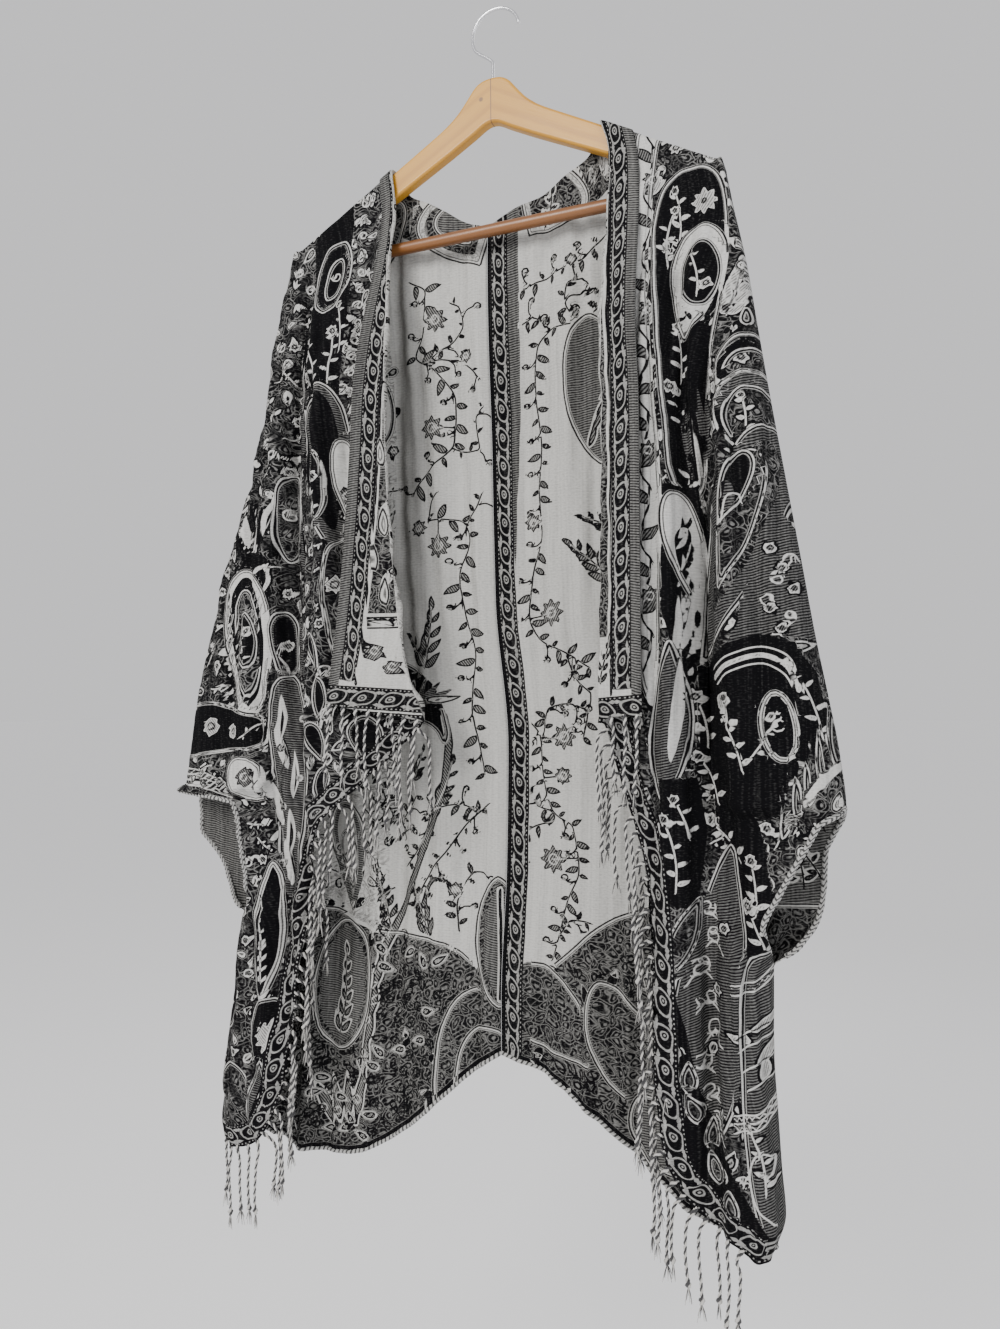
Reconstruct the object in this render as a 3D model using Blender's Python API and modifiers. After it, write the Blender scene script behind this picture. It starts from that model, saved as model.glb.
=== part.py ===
"""Open-front fringe poncho on a wooden hanger.

Two lengths of shawl cloth hang over a hanger. Each length is cut as a front and a back with half a
sleeve in one with it, so the pieces are front_left, front_right, back_left and back_right. Each front
turns back on itself at the opening as a lapel. A fringe strip follows each front's lower edge.

Metres, +Z up. The origin is the inner top of the hook, where the hanger hangs. X runs to the right
as the wearer's front is seen, the front faces -Y and the back faces +Y.
"""
import math

import bmesh
import bpy
import numpy as np
from mathutils import Vector

# ---------------------------------------------------------------- driving dimensions
GAP = 0.0003            # between neighbouring pieces
CLOTH = 0.0012          # thickness of the cloth's wall
SEAM = GAP / 2          # from the hanger's plane to a sewn edge

HOOK_WIRE = 0.0016      # radius of the hook's wire
HOOK_INNER = 0.0235     # inner radius of the crook
HOOK_SHIFT = 0.003      # the crook's centre lies this far right of the stem
HOOK_TIP = 12           # degrees above level where the crook's free end stops
HOOK_TURN = 205         # degrees where the crook leaves its circle for the stem
STEM_FOOT = -0.084      # lower end of the stem, inside the wood
STEM_BORE = HOOK_WIRE + GAP

WOOD_HALF = 0.006       # half the thickness of the hanger's wood
WOOD_EDGE = 0.0025      # rounding of its edges
WOOD_TOP = -0.0705      # top of the wood below the hook
ARM_START = (0.055, -0.113)   # out and z where the arm's straight top begins
ARM_SLOPE = 0.5625      # fall of the arm's top for each metre out
ARM_END = 0.2205        # how far out the arm reaches
BAR_Z = -0.222
BAR_RADIUS = 0.006
BAR_SEAT = 0.189        # how far out the arm's inner cheek stands

LAPEL_LIFT = 0.0065     # from the cloth's face to the lapel folded back over it
LAPEL_TOP_LIFT = 0.0040 # the same where both lie on the hanger's arm
CUFF_OPEN = (-0.775, -0.912)  # heights between which the cuff is open
FRONT_RIM = 0.029       # how far the cuff's front edge stands from the hanger's plane
BACK_RIM = 0.022        # and its back edge

STRIP_WIDTH = 0.006     # fringe strip below the cloth's edge
STRIP_HALF = 0.0007     # half the strip's thickness
STRIP_GAP = 0.0004      # between it and the cloth
STRAND_HALF = 0.0014    # half the width of one fringe strand
STRAND_PITCH = 0.0135
STRAND_LENGTH = 0.072
STRAND_SPREAD = 0.0045  # how far neighbouring strands keep apart
BARE_CORNER = {"left": 0.020, "right": 0.046}   # lower edge without strands beside the outer corner

# Rows of every panel: the share of the way from its top to its lower edge.
ROWS = (0, 0.005, 0.012, 0.03, 0.07, 0.13, 0.19, 0.25, 0.31, 0.37, 0.43, 0.49, 0.55,
        0.59, 0.613, 0.624, 0.66, 0.70, 0.73, 0.756, 0.80, 0.85, 0.90, 0.95, 1.0)
# How the first rows wrap over the hanger's arm: drop below the top, distance from the plane.
WRAP = ((0.0, SEAM), (0.0002, 0.0050), (0.0026, 0.0084), (0.0120, 0.0092))
FULL_DROP = 0.24        # below the shoulder, where the folds have their full depth
HEM_DEPTH = 0.030       # the folds open out towards this depth at a front's lower edge
HEM_EASE = 0.65         # and this much of the way

# ---------------------------------------------------------------- guide lines
# Each line: height z, distance out from the hanger's plane of symmetry.
LINES = {
    "left": {
        "centre": ((-0.206, 0.016), (-0.376, 0.020), (-0.583, 0.017), (-0.731, 0.004),
                   (-0.847, 0.006), (-0.987, 0.013), (-1.200, 0.013)),
        "fold": ((-0.140, 0.112), (-0.190, 0.106), (-0.250, 0.108), (-0.320, 0.103),
                 (-0.470, 0.098), (-0.590, 0.087), (-0.650, 0.078), (-0.705, 0.056)),
        "selvedge": ((-0.140, 0.124), (-0.190, 0.118), (-0.320, 0.1245), (-0.460, 0.131),
                     (-0.590, 0.142), (-0.690, 0.156)),
        "side": ((-0.180, 0.190), (-0.260, 0.211), (-0.470, 0.221), (-0.790, 0.2245),
                 (-0.910, 0.2225), (-1.000, 0.2165), (-1.050, 0.2175), (-1.160, 0.226)),
        "outer": ((-0.2095, 0.2265), (-0.294, 0.249), (-0.380, 0.2625), (-0.466, 0.2843),
                  (-0.530, 0.3106), (-0.6175, 0.337), (-0.695, 0.357), (-0.772, 0.370),
                  (-0.782, 0.374)),
        "front_rim": ((-0.786, 0.330), (-0.792, 0.290), (-0.840, 0.279), (-0.872, 0.273)),
        "back_rim": ((-0.830, 0.3724), (-0.8515, 0.351), (-0.883, 0.330), (-0.903, 0.308)),
        "flank": ((-0.915, 0.289), (-1.003, 0.303), (-1.067, 0.3116), (-1.120, 0.315),
                  (-1.143, 0.311)),
    },
    "right": {
        "centre": ((-0.206, -0.016), (-0.376, -0.020), (-0.583, -0.017), (-0.731, -0.004),
                   (-0.847, -0.006), (-0.987, -0.013), (-1.200, -0.013)),
        "fold": ((-0.140, 0.114), (-0.180, 0.1234), (-0.330, 0.1237), (-0.420, 0.1246),
                 (-0.510, 0.122), (-0.600, 0.120), (-0.705, 0.1175)),
        "selvedge": ((-0.140, 0.138), (-0.195, 0.150), (-0.340, 0.1535), (-0.430, 0.158),
                     (-0.700, 0.1575)),
        "side": ((-0.180, 0.188), (-0.330, 0.186), (-0.510, 0.196), (-0.640, 0.201),
                 (-0.730, 0.204), (-0.860, 0.212), (-0.950, 0.210), (-1.070, 0.208),
                 (-1.160, 0.214)),
        "outer": ((-0.2095, 0.2265), (-0.280, 0.2395), (-0.353, 0.250), (-0.426, 0.261),
                  (-0.4975, 0.2726), (-0.568, 0.284), (-0.637, 0.295), (-0.688, 0.3044),
                  (-0.730, 0.3116), (-0.780, 0.3165)),
        "front_rim": ((-0.790, 0.300), (-0.8055, 0.291), (-0.848, 0.2675), (-0.882, 0.2525)),
        "back_rim": ((-0.821, 0.300), (-0.846, 0.2985), (-0.873, 0.294), (-0.900, 0.276)),
        "flank": ((-0.915, 0.2555), (-0.987, 0.2545), (-1.036, 0.257), (-1.084, 0.2595),
                  (-1.120, 0.262), (-1.150, 0.2535)),
    },
}

# Lapel stations, from its selvedge to the fold: share of the way in, depth, height of its lower edge.
LAPEL = {
    "left": ((0.0, 0.057, -0.690), (0.35, 0.052, -0.695), (0.70, 0.049, -0.701),
             (1.0, 0.0455, -0.706)),
    "right": ((0.0, 0.056, -0.702), (0.35, 0.052, -0.701), (0.70, 0.049, -0.702),
              (1.0, 0.0455, -0.706)),
}
# Front stations between the fold and the side line: share, depth, height of the lower edge.
FRONT_BODY = {
    "left": ((0.0, 0.039, -0.707), (0.12, 0.037, -0.723), (0.25, 0.034, -0.741),
             (0.38, 0.035, -0.759), (0.50, 0.040, -0.776), (0.62, 0.046, -0.793),
             (0.72, 0.036, -0.806), (0.80, 0.043, -0.850), (0.87, 0.031, -0.900),
             (0.94, 0.017, -0.960)),
    "right": ((0.0, 0.039, -0.707), (0.12, 0.037, -0.740), (0.25, 0.034, -0.785),
              (0.38, 0.036, -0.824), (0.44, 0.040, -0.910), (0.48, 0.044, -1.000),
              (0.54, 0.050, -1.066), (0.66, 0.046, -1.096), (0.78, 0.034, -1.112),
              (0.90, 0.018, -1.124)),
}
# Front stations between the side line and the outer edge: share, depth, height of the lower edge.
FRONT_SLEEVE = {
    "left": ((0.0, 0.010, -1.020), (0.10, 0.020, -1.087), (0.22, 0.032, -1.120),
             (0.38, 0.035, -1.136), (0.54, 0.026, -1.142), (0.70, 0.029, -1.144),
             (0.84, 0.023, -1.144), (0.93, 0.015, -1.143), (0.98, 0.007, -1.143),
             (1.0, SEAM, -1.143)),
    "right": ((0.0, 0.011, -1.130), (0.12, 0.023, -1.134), (0.26, 0.034, -1.137),
              (0.42, 0.038, -1.142), (0.58, 0.029, -1.147), (0.72, 0.030, -1.150),
              (0.84, 0.023, -1.151), (0.93, 0.015, -1.151), (0.98, 0.007, -1.150),
              (1.0, SEAM, -1.150)),
}
# Back stations below the open neck, from the centre seam out to the neck point: share and depth.
BACK_NECK = ((0.0, 0.040), (0.11, 0.036), (0.27, 0.041), (0.47, 0.037), (0.67, 0.031),
             (0.85, 0.036), (0.985, 0.041))
# Back stations below the shoulder, from the neck point out to the side line: share and depth.
BACK_BODY = ((0.02, 0.041), (0.27, 0.036), (0.53, 0.030), (0.78, 0.034))
# Back stations between the side line and the outer edge: share and depth.
BACK_SLEEVE = ((0.0, 0.028), (0.14, 0.020), (0.28, 0.027), (0.42, 0.031), (0.57, 0.022),
               (0.72, 0.025), (0.84, 0.020), (0.93, 0.013), (0.98, 0.007), (1.0, SEAM))
NECK_POINT = 0.112      # how far out the neck's opening reaches along the arm
# Neckline behind the hanger, from the centre seam out: distance out, height, depth.
NECKLINE = {
    "left": ((0.016, -0.206, 0.022), (0.030, -0.203, 0.016), (0.050, -0.190, 0.021),
             (0.074, -0.1745, 0.014), (0.097, -0.163, 0.012), (0.1115, -0.1434, 0.0097)),
    "right": ((-0.016, -0.206, 0.022), (0.016, -0.196, 0.016), (0.0485, -0.186, 0.020),
              (0.075, -0.173, 0.013), (0.097, -0.162, 0.012), (0.1115, -0.1430, 0.0100)),
}
# Back hem: distance out, height.
HEM = {
    "left": ((0.013, -1.0365), (0.036, -1.051), (0.069, -1.0786), (0.115, -1.121),
             (0.160, -1.1515), (0.200, -1.161), (0.237, -1.160), (0.270, -1.150),
             (0.311, -1.143)),
    "right": ((-0.013, -1.0365), (0.012, -1.0416), (0.053, -1.060), (0.083, -1.079),
              (0.122, -1.110), (0.160, -1.141), (0.200, -1.159), (0.230, -1.159),
              (0.2535, -1.150)),
}

SIDES = {"left": -1, "right": 1}
COLLECTION = "fringe_poncho"
CUTTERS = "cutters"

COLOURS = {
    "cloth": ((0.09, 0.09, 0.10), 0.9, 0.0),
    "cloth_back": ((0.34, 0.33, 0.31), 0.9, 0.0),
    "cord": ((0.16, 0.16, 0.16), 0.9, 0.0),
    "beech": ((0.62, 0.40, 0.20), 0.4, 0.0),
    "dowel": ((0.48, 0.25, 0.12), 0.4, 0.0),
    "chrome": ((0.75, 0.75, 0.77), 0.2, 1.0),
}


# ---------------------------------------------------------------- scene helpers
def clear_scene():
    for obj in list(bpy.data.objects):
        bpy.data.objects.remove(obj, do_unlink=True)


def collection(name):
    found = bpy.data.collections.get(name) or bpy.data.collections.new(name)
    if found.name not in bpy.context.scene.collection.children:
        bpy.context.scene.collection.children.link(found)
    return found


def material(name):
    colour, roughness, metallic = COLOURS[name]
    mat = bpy.data.materials.get(name) or bpy.data.materials.new(name)
    mat.use_nodes = True
    shader = mat.node_tree.nodes["Principled BSDF"]
    shader.inputs["Base Color"].default_value = (*colour, 1.0)
    shader.inputs["Roughness"].default_value = roughness
    shader.inputs["Metallic"].default_value = metallic
    return mat


def add_object(name, data, mat, group=COLLECTION):
    obj = bpy.data.objects.new(name, data)
    collection(group).objects.link(obj)
    obj.data.materials.append(material(mat))
    return obj


def mesh_object(name, bm, mat, group=COLLECTION):
    mesh = bpy.data.meshes.new(name)
    bm.to_mesh(mesh)
    bm.free()
    mesh.shade_smooth()
    return add_object(name, mesh, mat, group)


# ---------------------------------------------------------------- reading the tables
def along(table, key):
    """Value of a table of (key, value) rows at a key, whichever way the keys run."""
    keys = [row[0] for row in table]
    values = [row[1] for row in table]
    if keys[0] > keys[-1]:
        keys, values = keys[::-1], values[::-1]
    return float(np.interp(key, keys, values))


def smooth(share):
    share = min(max(share, 0.0), 1.0)
    return share * share * (3 - 2 * share)


def arm_top(out):
    """Height of the hanger arm's top surface."""
    return ARM_START[1] - ARM_SLOPE * (out - ARM_START[0])


def shoulder(out):
    """Height of the cloth's inner face where it lies on the arm."""
    return arm_top(out) + 3 * GAP


def outer_line(side, rim):
    lines = LINES[side]
    return lines["outer"] + lines[rim] + lines["flank"]


def cuff_opening(z):
    """How open the sleeve's end is at a height: 0 is sewn shut, 1 is fully open."""
    top, bottom = CUFF_OPEN
    share = (top - z) / (top - bottom)
    if share <= 0 or share >= 1:
        return 0.0
    return min(smooth(share / 0.10), smooth((1 - share) / 0.30))


# ---------------------------------------------------------------- cloth
def seat(out_at):
    """Height where a station's line meets the arm it lies on."""
    z = -0.17
    for _ in range(8):
        z = shoulder(out_at(z))
    return z


def hang(top, bottom, depth, lift=0.0, ease=0.0):
    """Heights and depths of a station's rows, from over the hanger's arm to its lower edge."""
    rows = []
    for k, share in enumerate(ROWS):
        if k < len(WRAP):
            drop, away = WRAP[k]
            turn = smooth(k / (len(WRAP) - 1))
            rows.append((top - drop + lift * (1 - turn), away + lift * math.sqrt(turn)))
            continue
        z = top + (bottom - top) * share
        fullness = smooth((top - z - WRAP[-1][0]) / FULL_DROP)
        start = WRAP[-1][1] + lift
        eased = depth + (HEM_DEPTH - depth) * ease * smooth((share - 0.75) / 0.25)
        rows.append((z, start + (eased - start) * fullness))
    return rows


def front_stations(side):
    """Columns of a front's points: the lapel, the hairpin fold, the body and the half sleeve."""
    lines = LINES[side]
    stations = []

    def column(out_at, depth, bottom, lift=0.0, ease=0.0):
        rows = hang(seat(out_at), bottom, depth, lift, ease)
        stations.append([(out_at(z), away, z) for z, away in rows])

    for share, depth, bottom in LAPEL[side]:
        def lapel_out(z, share=share):
            edge = along(lines["selvedge"], z)
            return edge + (along(lines["fold"], z) - edge) * share
        column(lapel_out, depth, bottom, LAPEL_TOP_LIFT)

    fold_depth = FRONT_BODY[side][0][1]
    for angle in (40, -40):
        turned = (1 + math.sin(math.radians(angle))) / 2
        reach = LAPEL_LIFT / 2 * math.cos(math.radians(angle))

        def fold_out(z, reach=reach):
            return along(lines["fold"], z) - reach
        column(fold_out, fold_depth + LAPEL_LIFT * turned, FRONT_BODY[side][0][2],
               LAPEL_TOP_LIFT * turned)

    for share, depth, bottom in FRONT_BODY[side]:
        def body_out(z, share=share):
            fold = along(lines["fold"], z)
            return fold + (along(lines["side"], z) - fold) * share
        column(body_out, depth, bottom, ease=HEM_EASE * smooth(share / 0.3))

    outer = outer_line(side, "front_rim")
    for share, depth, bottom in FRONT_SLEEVE[side]:
        ease = HEM_EASE * smooth((0.84 - share) / 0.3)
        stations.append(sleeve_column(side, outer, (share, depth, bottom), FRONT_SLEEVE[side][0][1],
                                      FRONT_RIM, ease))
    return stations


def sleeve_column(side, outer, station, side_depth, rim_depth, ease=0.0):
    """One column between the side line and the outer edge, which opens at the cuff."""
    lines = LINES[side]
    share, depth, bottom = station

    def out_at(z):
        inner = along(lines["side"], z)
        return inner + (along(outer, z) - inner) * share

    column = []
    edge = smooth((share - 0.80) / 0.20)
    for k, (z, away) in enumerate(hang(seat(out_at), bottom, depth, ease=ease)):
        if k > 0:
            away += (depth - away) * edge
        opening = cuff_opening(z)
        rim = side_depth + (rim_depth - side_depth) * share ** 0.6
        column.append((out_at(z), away + (rim - away) * opening, z))
    return column


def back_stations(side):
    """Columns of a back's points, from the centre seam to the outer edge."""
    lines = LINES[side]
    stations = []
    hem_z = HEM[side][4][1]
    centre_top = along(lines["centre"], NECKLINE[side][0][1]) + SEAM
    side_top = along(lines["side"], shoulder(NECK_POINT))
    neck_share = (NECK_POINT - centre_top) / (side_top - centre_top)

    def body_line(share):
        def out_at(z):
            centre = along(lines["centre"], z) + SEAM
            return centre + (along(lines["side"], z) - centre) * share
        return out_at

    for neck_part, depth in BACK_NECK:
        out_at = body_line(neck_share * neck_part)
        bottom = along(HEM[side], out_at(hem_z))
        neck = centre_top + (NECK_POINT - centre_top) * neck_part
        top = along([(out, z) for out, z, _ in NECKLINE[side]], neck)
        start = along([(out, away) for out, _, away in NECKLINE[side]], neck)
        column = []
        for row in ROWS:
            z = top + (bottom - top) * row
            fullness = smooth((top - z) / FULL_DROP)
            column.append((out_at(z), start + (depth - start) * fullness, z))
        stations.append(column)

    for shoulder_part, depth in BACK_BODY:
        out_at = body_line(neck_share + (1 - neck_share) * shoulder_part)
        bottom = along(HEM[side], out_at(hem_z))
        stations.append([(out_at(z), away, z) for z, away in hang(seat(out_at), bottom, depth)])

    outer = outer_line(side, "back_rim")
    for share, depth in BACK_SLEEVE:
        side_out = along(lines["side"], hem_z)
        out = side_out + (along(outer, hem_z) - side_out) * share
        bottom = along(HEM[side], out)
        if share == 1.0:
            bottom = HEM[side][-1][1]
        stations.append(sleeve_column(side, outer, (share, depth, bottom), BACK_SLEEVE[0][1], BACK_RIM))
    return stations


def panel(name, stations, side, facing, mat):
    """A cloth wall through the stations: an open sheet, its inner face, thickened outward."""
    sign = SIDES[side]
    bm = bmesh.new()
    grid = [[bm.verts.new((sign * out, facing * away, z)) for out, away, z in column]
            for column in stations]
    for a, b in zip(grid, grid[1:]):
        for k in range(len(ROWS) - 1):
            bm.faces.new((a[k], b[k], b[k + 1], a[k + 1]))
    outward = sum((f.normal * f.calc_area() for f in update_normals(bm)), Vector())
    if outward.y * facing < 0:
        bmesh.ops.reverse_faces(bm, faces=bm.faces[:])
    obj = mesh_object(name, bm, mat)
    wall = obj.modifiers.new("wall", "SOLIDIFY")
    wall.thickness = CLOTH
    wall.offset = 1.0
    return obj


def update_normals(bm):
    bm.normal_update()
    return bm.faces


# ---------------------------------------------------------------- fringe
def lower_edge(stations, side):
    """The front's lower edge: points on the wall's middle, the way out of the cloth, the way through it."""
    sign = SIDES[side]
    grid = [[Vector((sign * out, -away, z)) for out, away, z in column] for column in stations]
    last = [column[-1] for column in grid]
    above = [column[-2] for column in grid]
    edge = []
    for k, point in enumerate(last):
        tangent = (last[min(k + 1, len(last) - 1)] - last[max(k - 1, 0)]).normalized()
        hanging = (point - above[k]).normalized()
        away = (hanging - tangent * hanging.dot(tangent)).normalized()
        through = tangent.cross(away) * sign
        edge.append((point + through * (CLOTH / 2), away, through.normalized()))
    return edge


def edge_at(edge, lengths, at):
    """Point and directions at a length along the lower edge."""
    k = int(np.clip(np.searchsorted(lengths, at) - 1, 0, len(edge) - 2))
    share = (at - lengths[k]) / (lengths[k + 1] - lengths[k])
    point, away, through = (a.lerp(b, share) for a, b in zip(edge[k], edge[k + 1]))
    return point, away.normalized(), through.normalized()


def strand_path(root, away, number):
    """Middle line of one strand: out of the strip, then straight down."""
    level = Vector((away.x, away.y, 0.0))
    length = STRAND_LENGTH * (1.0 + 0.10 * math.sin(2.4 * number) + 0.05 * math.sin(5.1 * number))
    spread = level * (0.003 + STRAND_SPREAD * ((number // 3) % 3))
    swing = Vector((0.0, STRAND_SPREAD * (number % 3 - 1), 0.0))
    bend = root + away * 0.004 + (spread + swing) * 0.55 - Vector((0, 0, 0.007))
    middle = root + spread + swing - Vector((0, 0, 0.5 * length))
    tip = root + spread + swing - Vector((0, 0, length))
    return [root, bend, middle, tip]


def fringe(name, stations, side):
    """The strip along the lower edge with its strands, one closed mesh."""
    edge = lower_edge(stations, side)
    steps = [(b[0] - a[0]).length for a, b in zip(edge, edge[1:])]
    lengths = np.concatenate(([0.0], np.cumsum(steps)))
    lapel_end = lengths[len(LAPEL[side]) - 1]
    body_start = lengths[len(LAPEL[side]) + 2]
    roots = []
    at = 0.004
    while at < lengths[-1] - BARE_CORNER[side]:
        if not lapel_end - 0.003 < at < body_start + 0.004:
            roots.append(at)
        at += STRAND_PITCH
    cuts = [(at - STRAND_HALF, True) for at in roots] + [(at + STRAND_HALF, False) for at in roots]
    taken = np.array([at for at, _ in cuts])
    cuts += [(at, False) for at in lengths if np.abs(taken - at).min() > 2 * STRAND_HALF]
    cuts.sort()

    bm = bmesh.new()
    rings = []
    for at, _ in cuts:
        point, away, through = edge_at(edge, lengths, at)
        near = point + away * STRIP_GAP
        far = point + away * (STRIP_GAP + STRIP_WIDTH)
        rings.append([bm.verts.new(near - through * STRIP_HALF), bm.verts.new(near + through * STRIP_HALF),
                      bm.verts.new(far + through * STRIP_HALF), bm.verts.new(far - through * STRIP_HALF)])
    feet = []
    for (a, b), (at, is_root) in zip(zip(rings, rings[1:]), cuts):
        for k in range(4):
            face = bm.faces.new((a[k], a[(k + 1) % 4], b[(k + 1) % 4], b[k]))
            if k == 2 and is_root:
                feet.append((face, at + STRAND_HALF, {a[2]: (-1, 1), a[3]: (-1, -1),
                                                      b[3]: (1, -1), b[2]: (1, 1)}))
    bm.faces.new(rings[0][::-1])
    bm.faces.new(rings[-1])
    bmesh.ops.recalc_face_normals(bm, faces=bm.faces[:])

    for number, (face, at, corners) in enumerate(feet):
        point, away, through = edge_at(edge, lengths, at)
        root = point + away * (STRIP_GAP + STRIP_WIDTH)
        grow_strand(bm, face, corners, strand_path(root, away, number), away.cross(through), through)
    return mesh_object(name, bm, "cord")


def grow_strand(bm, face, corners, path, across, through):
    """Extrude one face of the strip along a strand's path, each corner keeping its side."""
    order = [corners[vert] for vert in face.verts]
    run = sum((vert.co * wide for vert, (wide, _) in zip(face.verts, order)), Vector())
    flip = math.copysign(1, run.dot(across))
    for before, here in zip(path, path[1:]):
        heading = (here - before).normalized()
        depth_way = (through - heading * through.dot(heading)).normalized()
        width_way = heading.cross(depth_way) * flip
        face = bmesh.ops.extrude_discrete_faces(bm, faces=[face])["faces"][0]
        for vert, (wide, deep) in zip(face.verts, order):
            vert.co = here + (width_way * wide + depth_way * deep) * STRAND_HALF


# ---------------------------------------------------------------- hanger
def hanger_outline():
    """Right half of the wood's outline, from the top of its neck to the middle of its underside."""
    end_top = arm_top(ARM_END - 0.008)
    return [(0.0, WOOD_TOP), (0.010, WOOD_TOP - 0.0010), (0.0185, WOOD_TOP - 0.0060),
            (0.026, WOOD_TOP - 0.0160), (0.036, WOOD_TOP - 0.0280), (0.046, WOOD_TOP - 0.0365),
            ARM_START, (0.130, arm_top(0.130)), (ARM_END - 0.008, end_top),
            (ARM_END - 0.001, end_top - 0.0075), (ARM_END, end_top - 0.018),
            (ARM_END - 0.006, -0.2325), (BAR_SEAT, -0.2325), (BAR_SEAT, -0.2115),
            (0.110, -0.1715), (0.045, -0.1385), (0.018, -0.1240), (0.007, -0.1172)]


def build_arms():
    half = hanger_outline()
    left = [(-x, z) for x, z in half[1:]]
    outline = half + [(0.0, -0.1157)] + left[::-1]
    curve = bpy.data.curves.new("hanger_arms", "CURVE")
    curve.dimensions = "2D"
    curve.fill_mode = "BOTH"
    curve.extrude = WOOD_HALF
    spline = curve.splines.new("POLY")
    spline.points.add(len(outline) - 1)
    for point, (x, z) in zip(spline.points, outline):
        point.co = (x, z, 0.0, 1.0)
    spline.use_cyclic_u = True
    flat = bpy.data.objects.new("outline", curve)
    collection(COLLECTION).objects.link(flat)
    flat.rotation_euler = (math.pi / 2, 0.0, 0.0)
    bpy.context.view_layer.update()
    mesh = bpy.data.meshes.new_from_object(flat.evaluated_get(bpy.context.evaluated_depsgraph_get()))
    mesh.transform(flat.matrix_world)
    bpy.data.objects.remove(flat, do_unlink=True)
    bm = bmesh.new()
    bm.from_mesh(mesh)
    bmesh.ops.remove_doubles(bm, verts=bm.verts[:], dist=1e-5)
    bmesh.ops.recalc_face_normals(bm, faces=bm.faces[:])
    wood = mesh_object("hanger_arms", bm, "beech")
    rounding = wood.modifiers.new("rounding", "BEVEL")
    rounding.width = WOOD_EDGE
    rounding.segments = 2
    rounding.limit_method = "ANGLE"
    rounding.angle_limit = math.radians(60)

    depth = WOOD_TOP - STEM_FOOT + GAP
    bore_bm = bmesh.new()
    bmesh.ops.create_cone(bore_bm, cap_ends=True, segments=12, radius1=STEM_BORE, radius2=STEM_BORE,
                          depth=2 * depth)
    bore = mesh_object("stem_bore", bore_bm, "beech", CUTTERS)
    bore.location = (0.0, 0.0, WOOD_TOP)
    bore.hide_render = True
    bore.display_type = "WIRE"
    cut = wood.modifiers.new("stem bore", "BOOLEAN")
    cut.operation = "DIFFERENCE"
    cut.object = bore
    return wood


def build_bar():
    bm = bmesh.new()
    bmesh.ops.create_cone(bm, cap_ends=True, segments=16, radius1=BAR_RADIUS, radius2=BAR_RADIUS,
                          depth=2 * (BAR_SEAT - GAP))
    bar = mesh_object("hanger_bar", bm, "dowel")
    bar.rotation_euler = (0.0, math.pi / 2, 0.0)
    bar.location = (0.0, 0.0, BAR_Z)
    return bar


def build_hook():
    """Wire crook over the origin, its stem let into the wood."""
    radius = HOOK_INNER + HOOK_WIRE
    points = []
    for k in range(17):
        angle = math.radians(HOOK_TIP + (HOOK_TURN - HOOK_TIP) * k / 16)
        points.append((HOOK_SHIFT + radius * math.cos(angle), -HOOK_INNER + radius * math.sin(angle)))
    leave_x, leave_z = points[-1]
    neck_z = leave_z - 0.019
    for share in (0.25, 0.5, 0.75, 1.0):
        bend = smooth(share) * 0.6 + share * 0.4
        points.append((leave_x * (1 - bend), leave_z + (neck_z - leave_z) * share))
    points += [(0.0, WOOD_TOP + 0.002), (0.0, STEM_FOOT)]
    curve = bpy.data.curves.new("hanger_hook", "CURVE")
    curve.dimensions = "3D"
    curve.bevel_depth = HOOK_WIRE
    curve.bevel_resolution = 2
    curve.use_fill_caps = True
    spline = curve.splines.new("POLY")
    spline.points.add(len(points) - 1)
    for point, (x, z) in zip(spline.points, points):
        point.co = (x, 0.0, z, 1.0)
    return add_object("hanger_hook", curve, "chrome")


# ---------------------------------------------------------------- the whole object
def build():
    clear_scene()
    build_arms()
    build_bar()
    build_hook()
    for side in SIDES:
        front = front_stations(side)
        panel("front_" + side, front, side, -1, "cloth")
        panel("back_" + side, back_stations(side), side, 1, "cloth_back")
        fringe("fringe_" + side, front, side)


build()
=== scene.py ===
"""Dresses the fringe poncho's frame: cloth with its woven pattern, twisted fringe, wood and steel.

The sizes and tables below repeat the frame's own, in metres. Every cloth piece is a thin shell on the same guide lines
as its solid, with finer folds. The woven pattern is drawn by formulas: outlines of paisleys, leaves, flowers and stems
are measured as distances on the cloth and stored on its points, and the materials draw lines and fills from them.
"""
import math
import re

import bmesh
import bpy
import numpy as np
from mathutils import Matrix, Vector


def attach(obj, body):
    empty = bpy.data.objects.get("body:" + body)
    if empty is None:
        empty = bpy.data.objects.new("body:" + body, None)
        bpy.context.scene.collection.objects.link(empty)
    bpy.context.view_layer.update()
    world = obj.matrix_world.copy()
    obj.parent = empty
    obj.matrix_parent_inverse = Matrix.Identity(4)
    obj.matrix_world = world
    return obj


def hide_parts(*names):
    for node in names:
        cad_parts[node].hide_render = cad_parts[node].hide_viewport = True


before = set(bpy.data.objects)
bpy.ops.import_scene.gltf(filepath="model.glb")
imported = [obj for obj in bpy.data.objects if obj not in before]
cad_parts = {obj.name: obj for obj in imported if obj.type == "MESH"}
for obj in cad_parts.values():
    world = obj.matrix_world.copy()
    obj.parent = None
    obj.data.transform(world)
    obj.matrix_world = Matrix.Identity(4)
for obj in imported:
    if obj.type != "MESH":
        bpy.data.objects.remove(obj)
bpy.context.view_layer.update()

# ---------------------------------------------------------------- driving dimensions
GAP = 0.0003            # between neighbouring pieces
SEAM = GAP / 2          # from the hanger's plane to a sewn edge

HOOK_WIRE = 0.0016      # radius of the hook's wire
HOOK_INNER = 0.0235     # inner radius of the crook
HOOK_SHIFT = 0.003      # the crook's centre lies this far right of the stem
HOOK_TIP = 12           # degrees above level where the crook's free end stops
HOOK_TURN = 205         # degrees where the crook leaves its circle for the stem
STEM_FOOT = -0.084      # lower end of the stem, inside the wood

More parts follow.
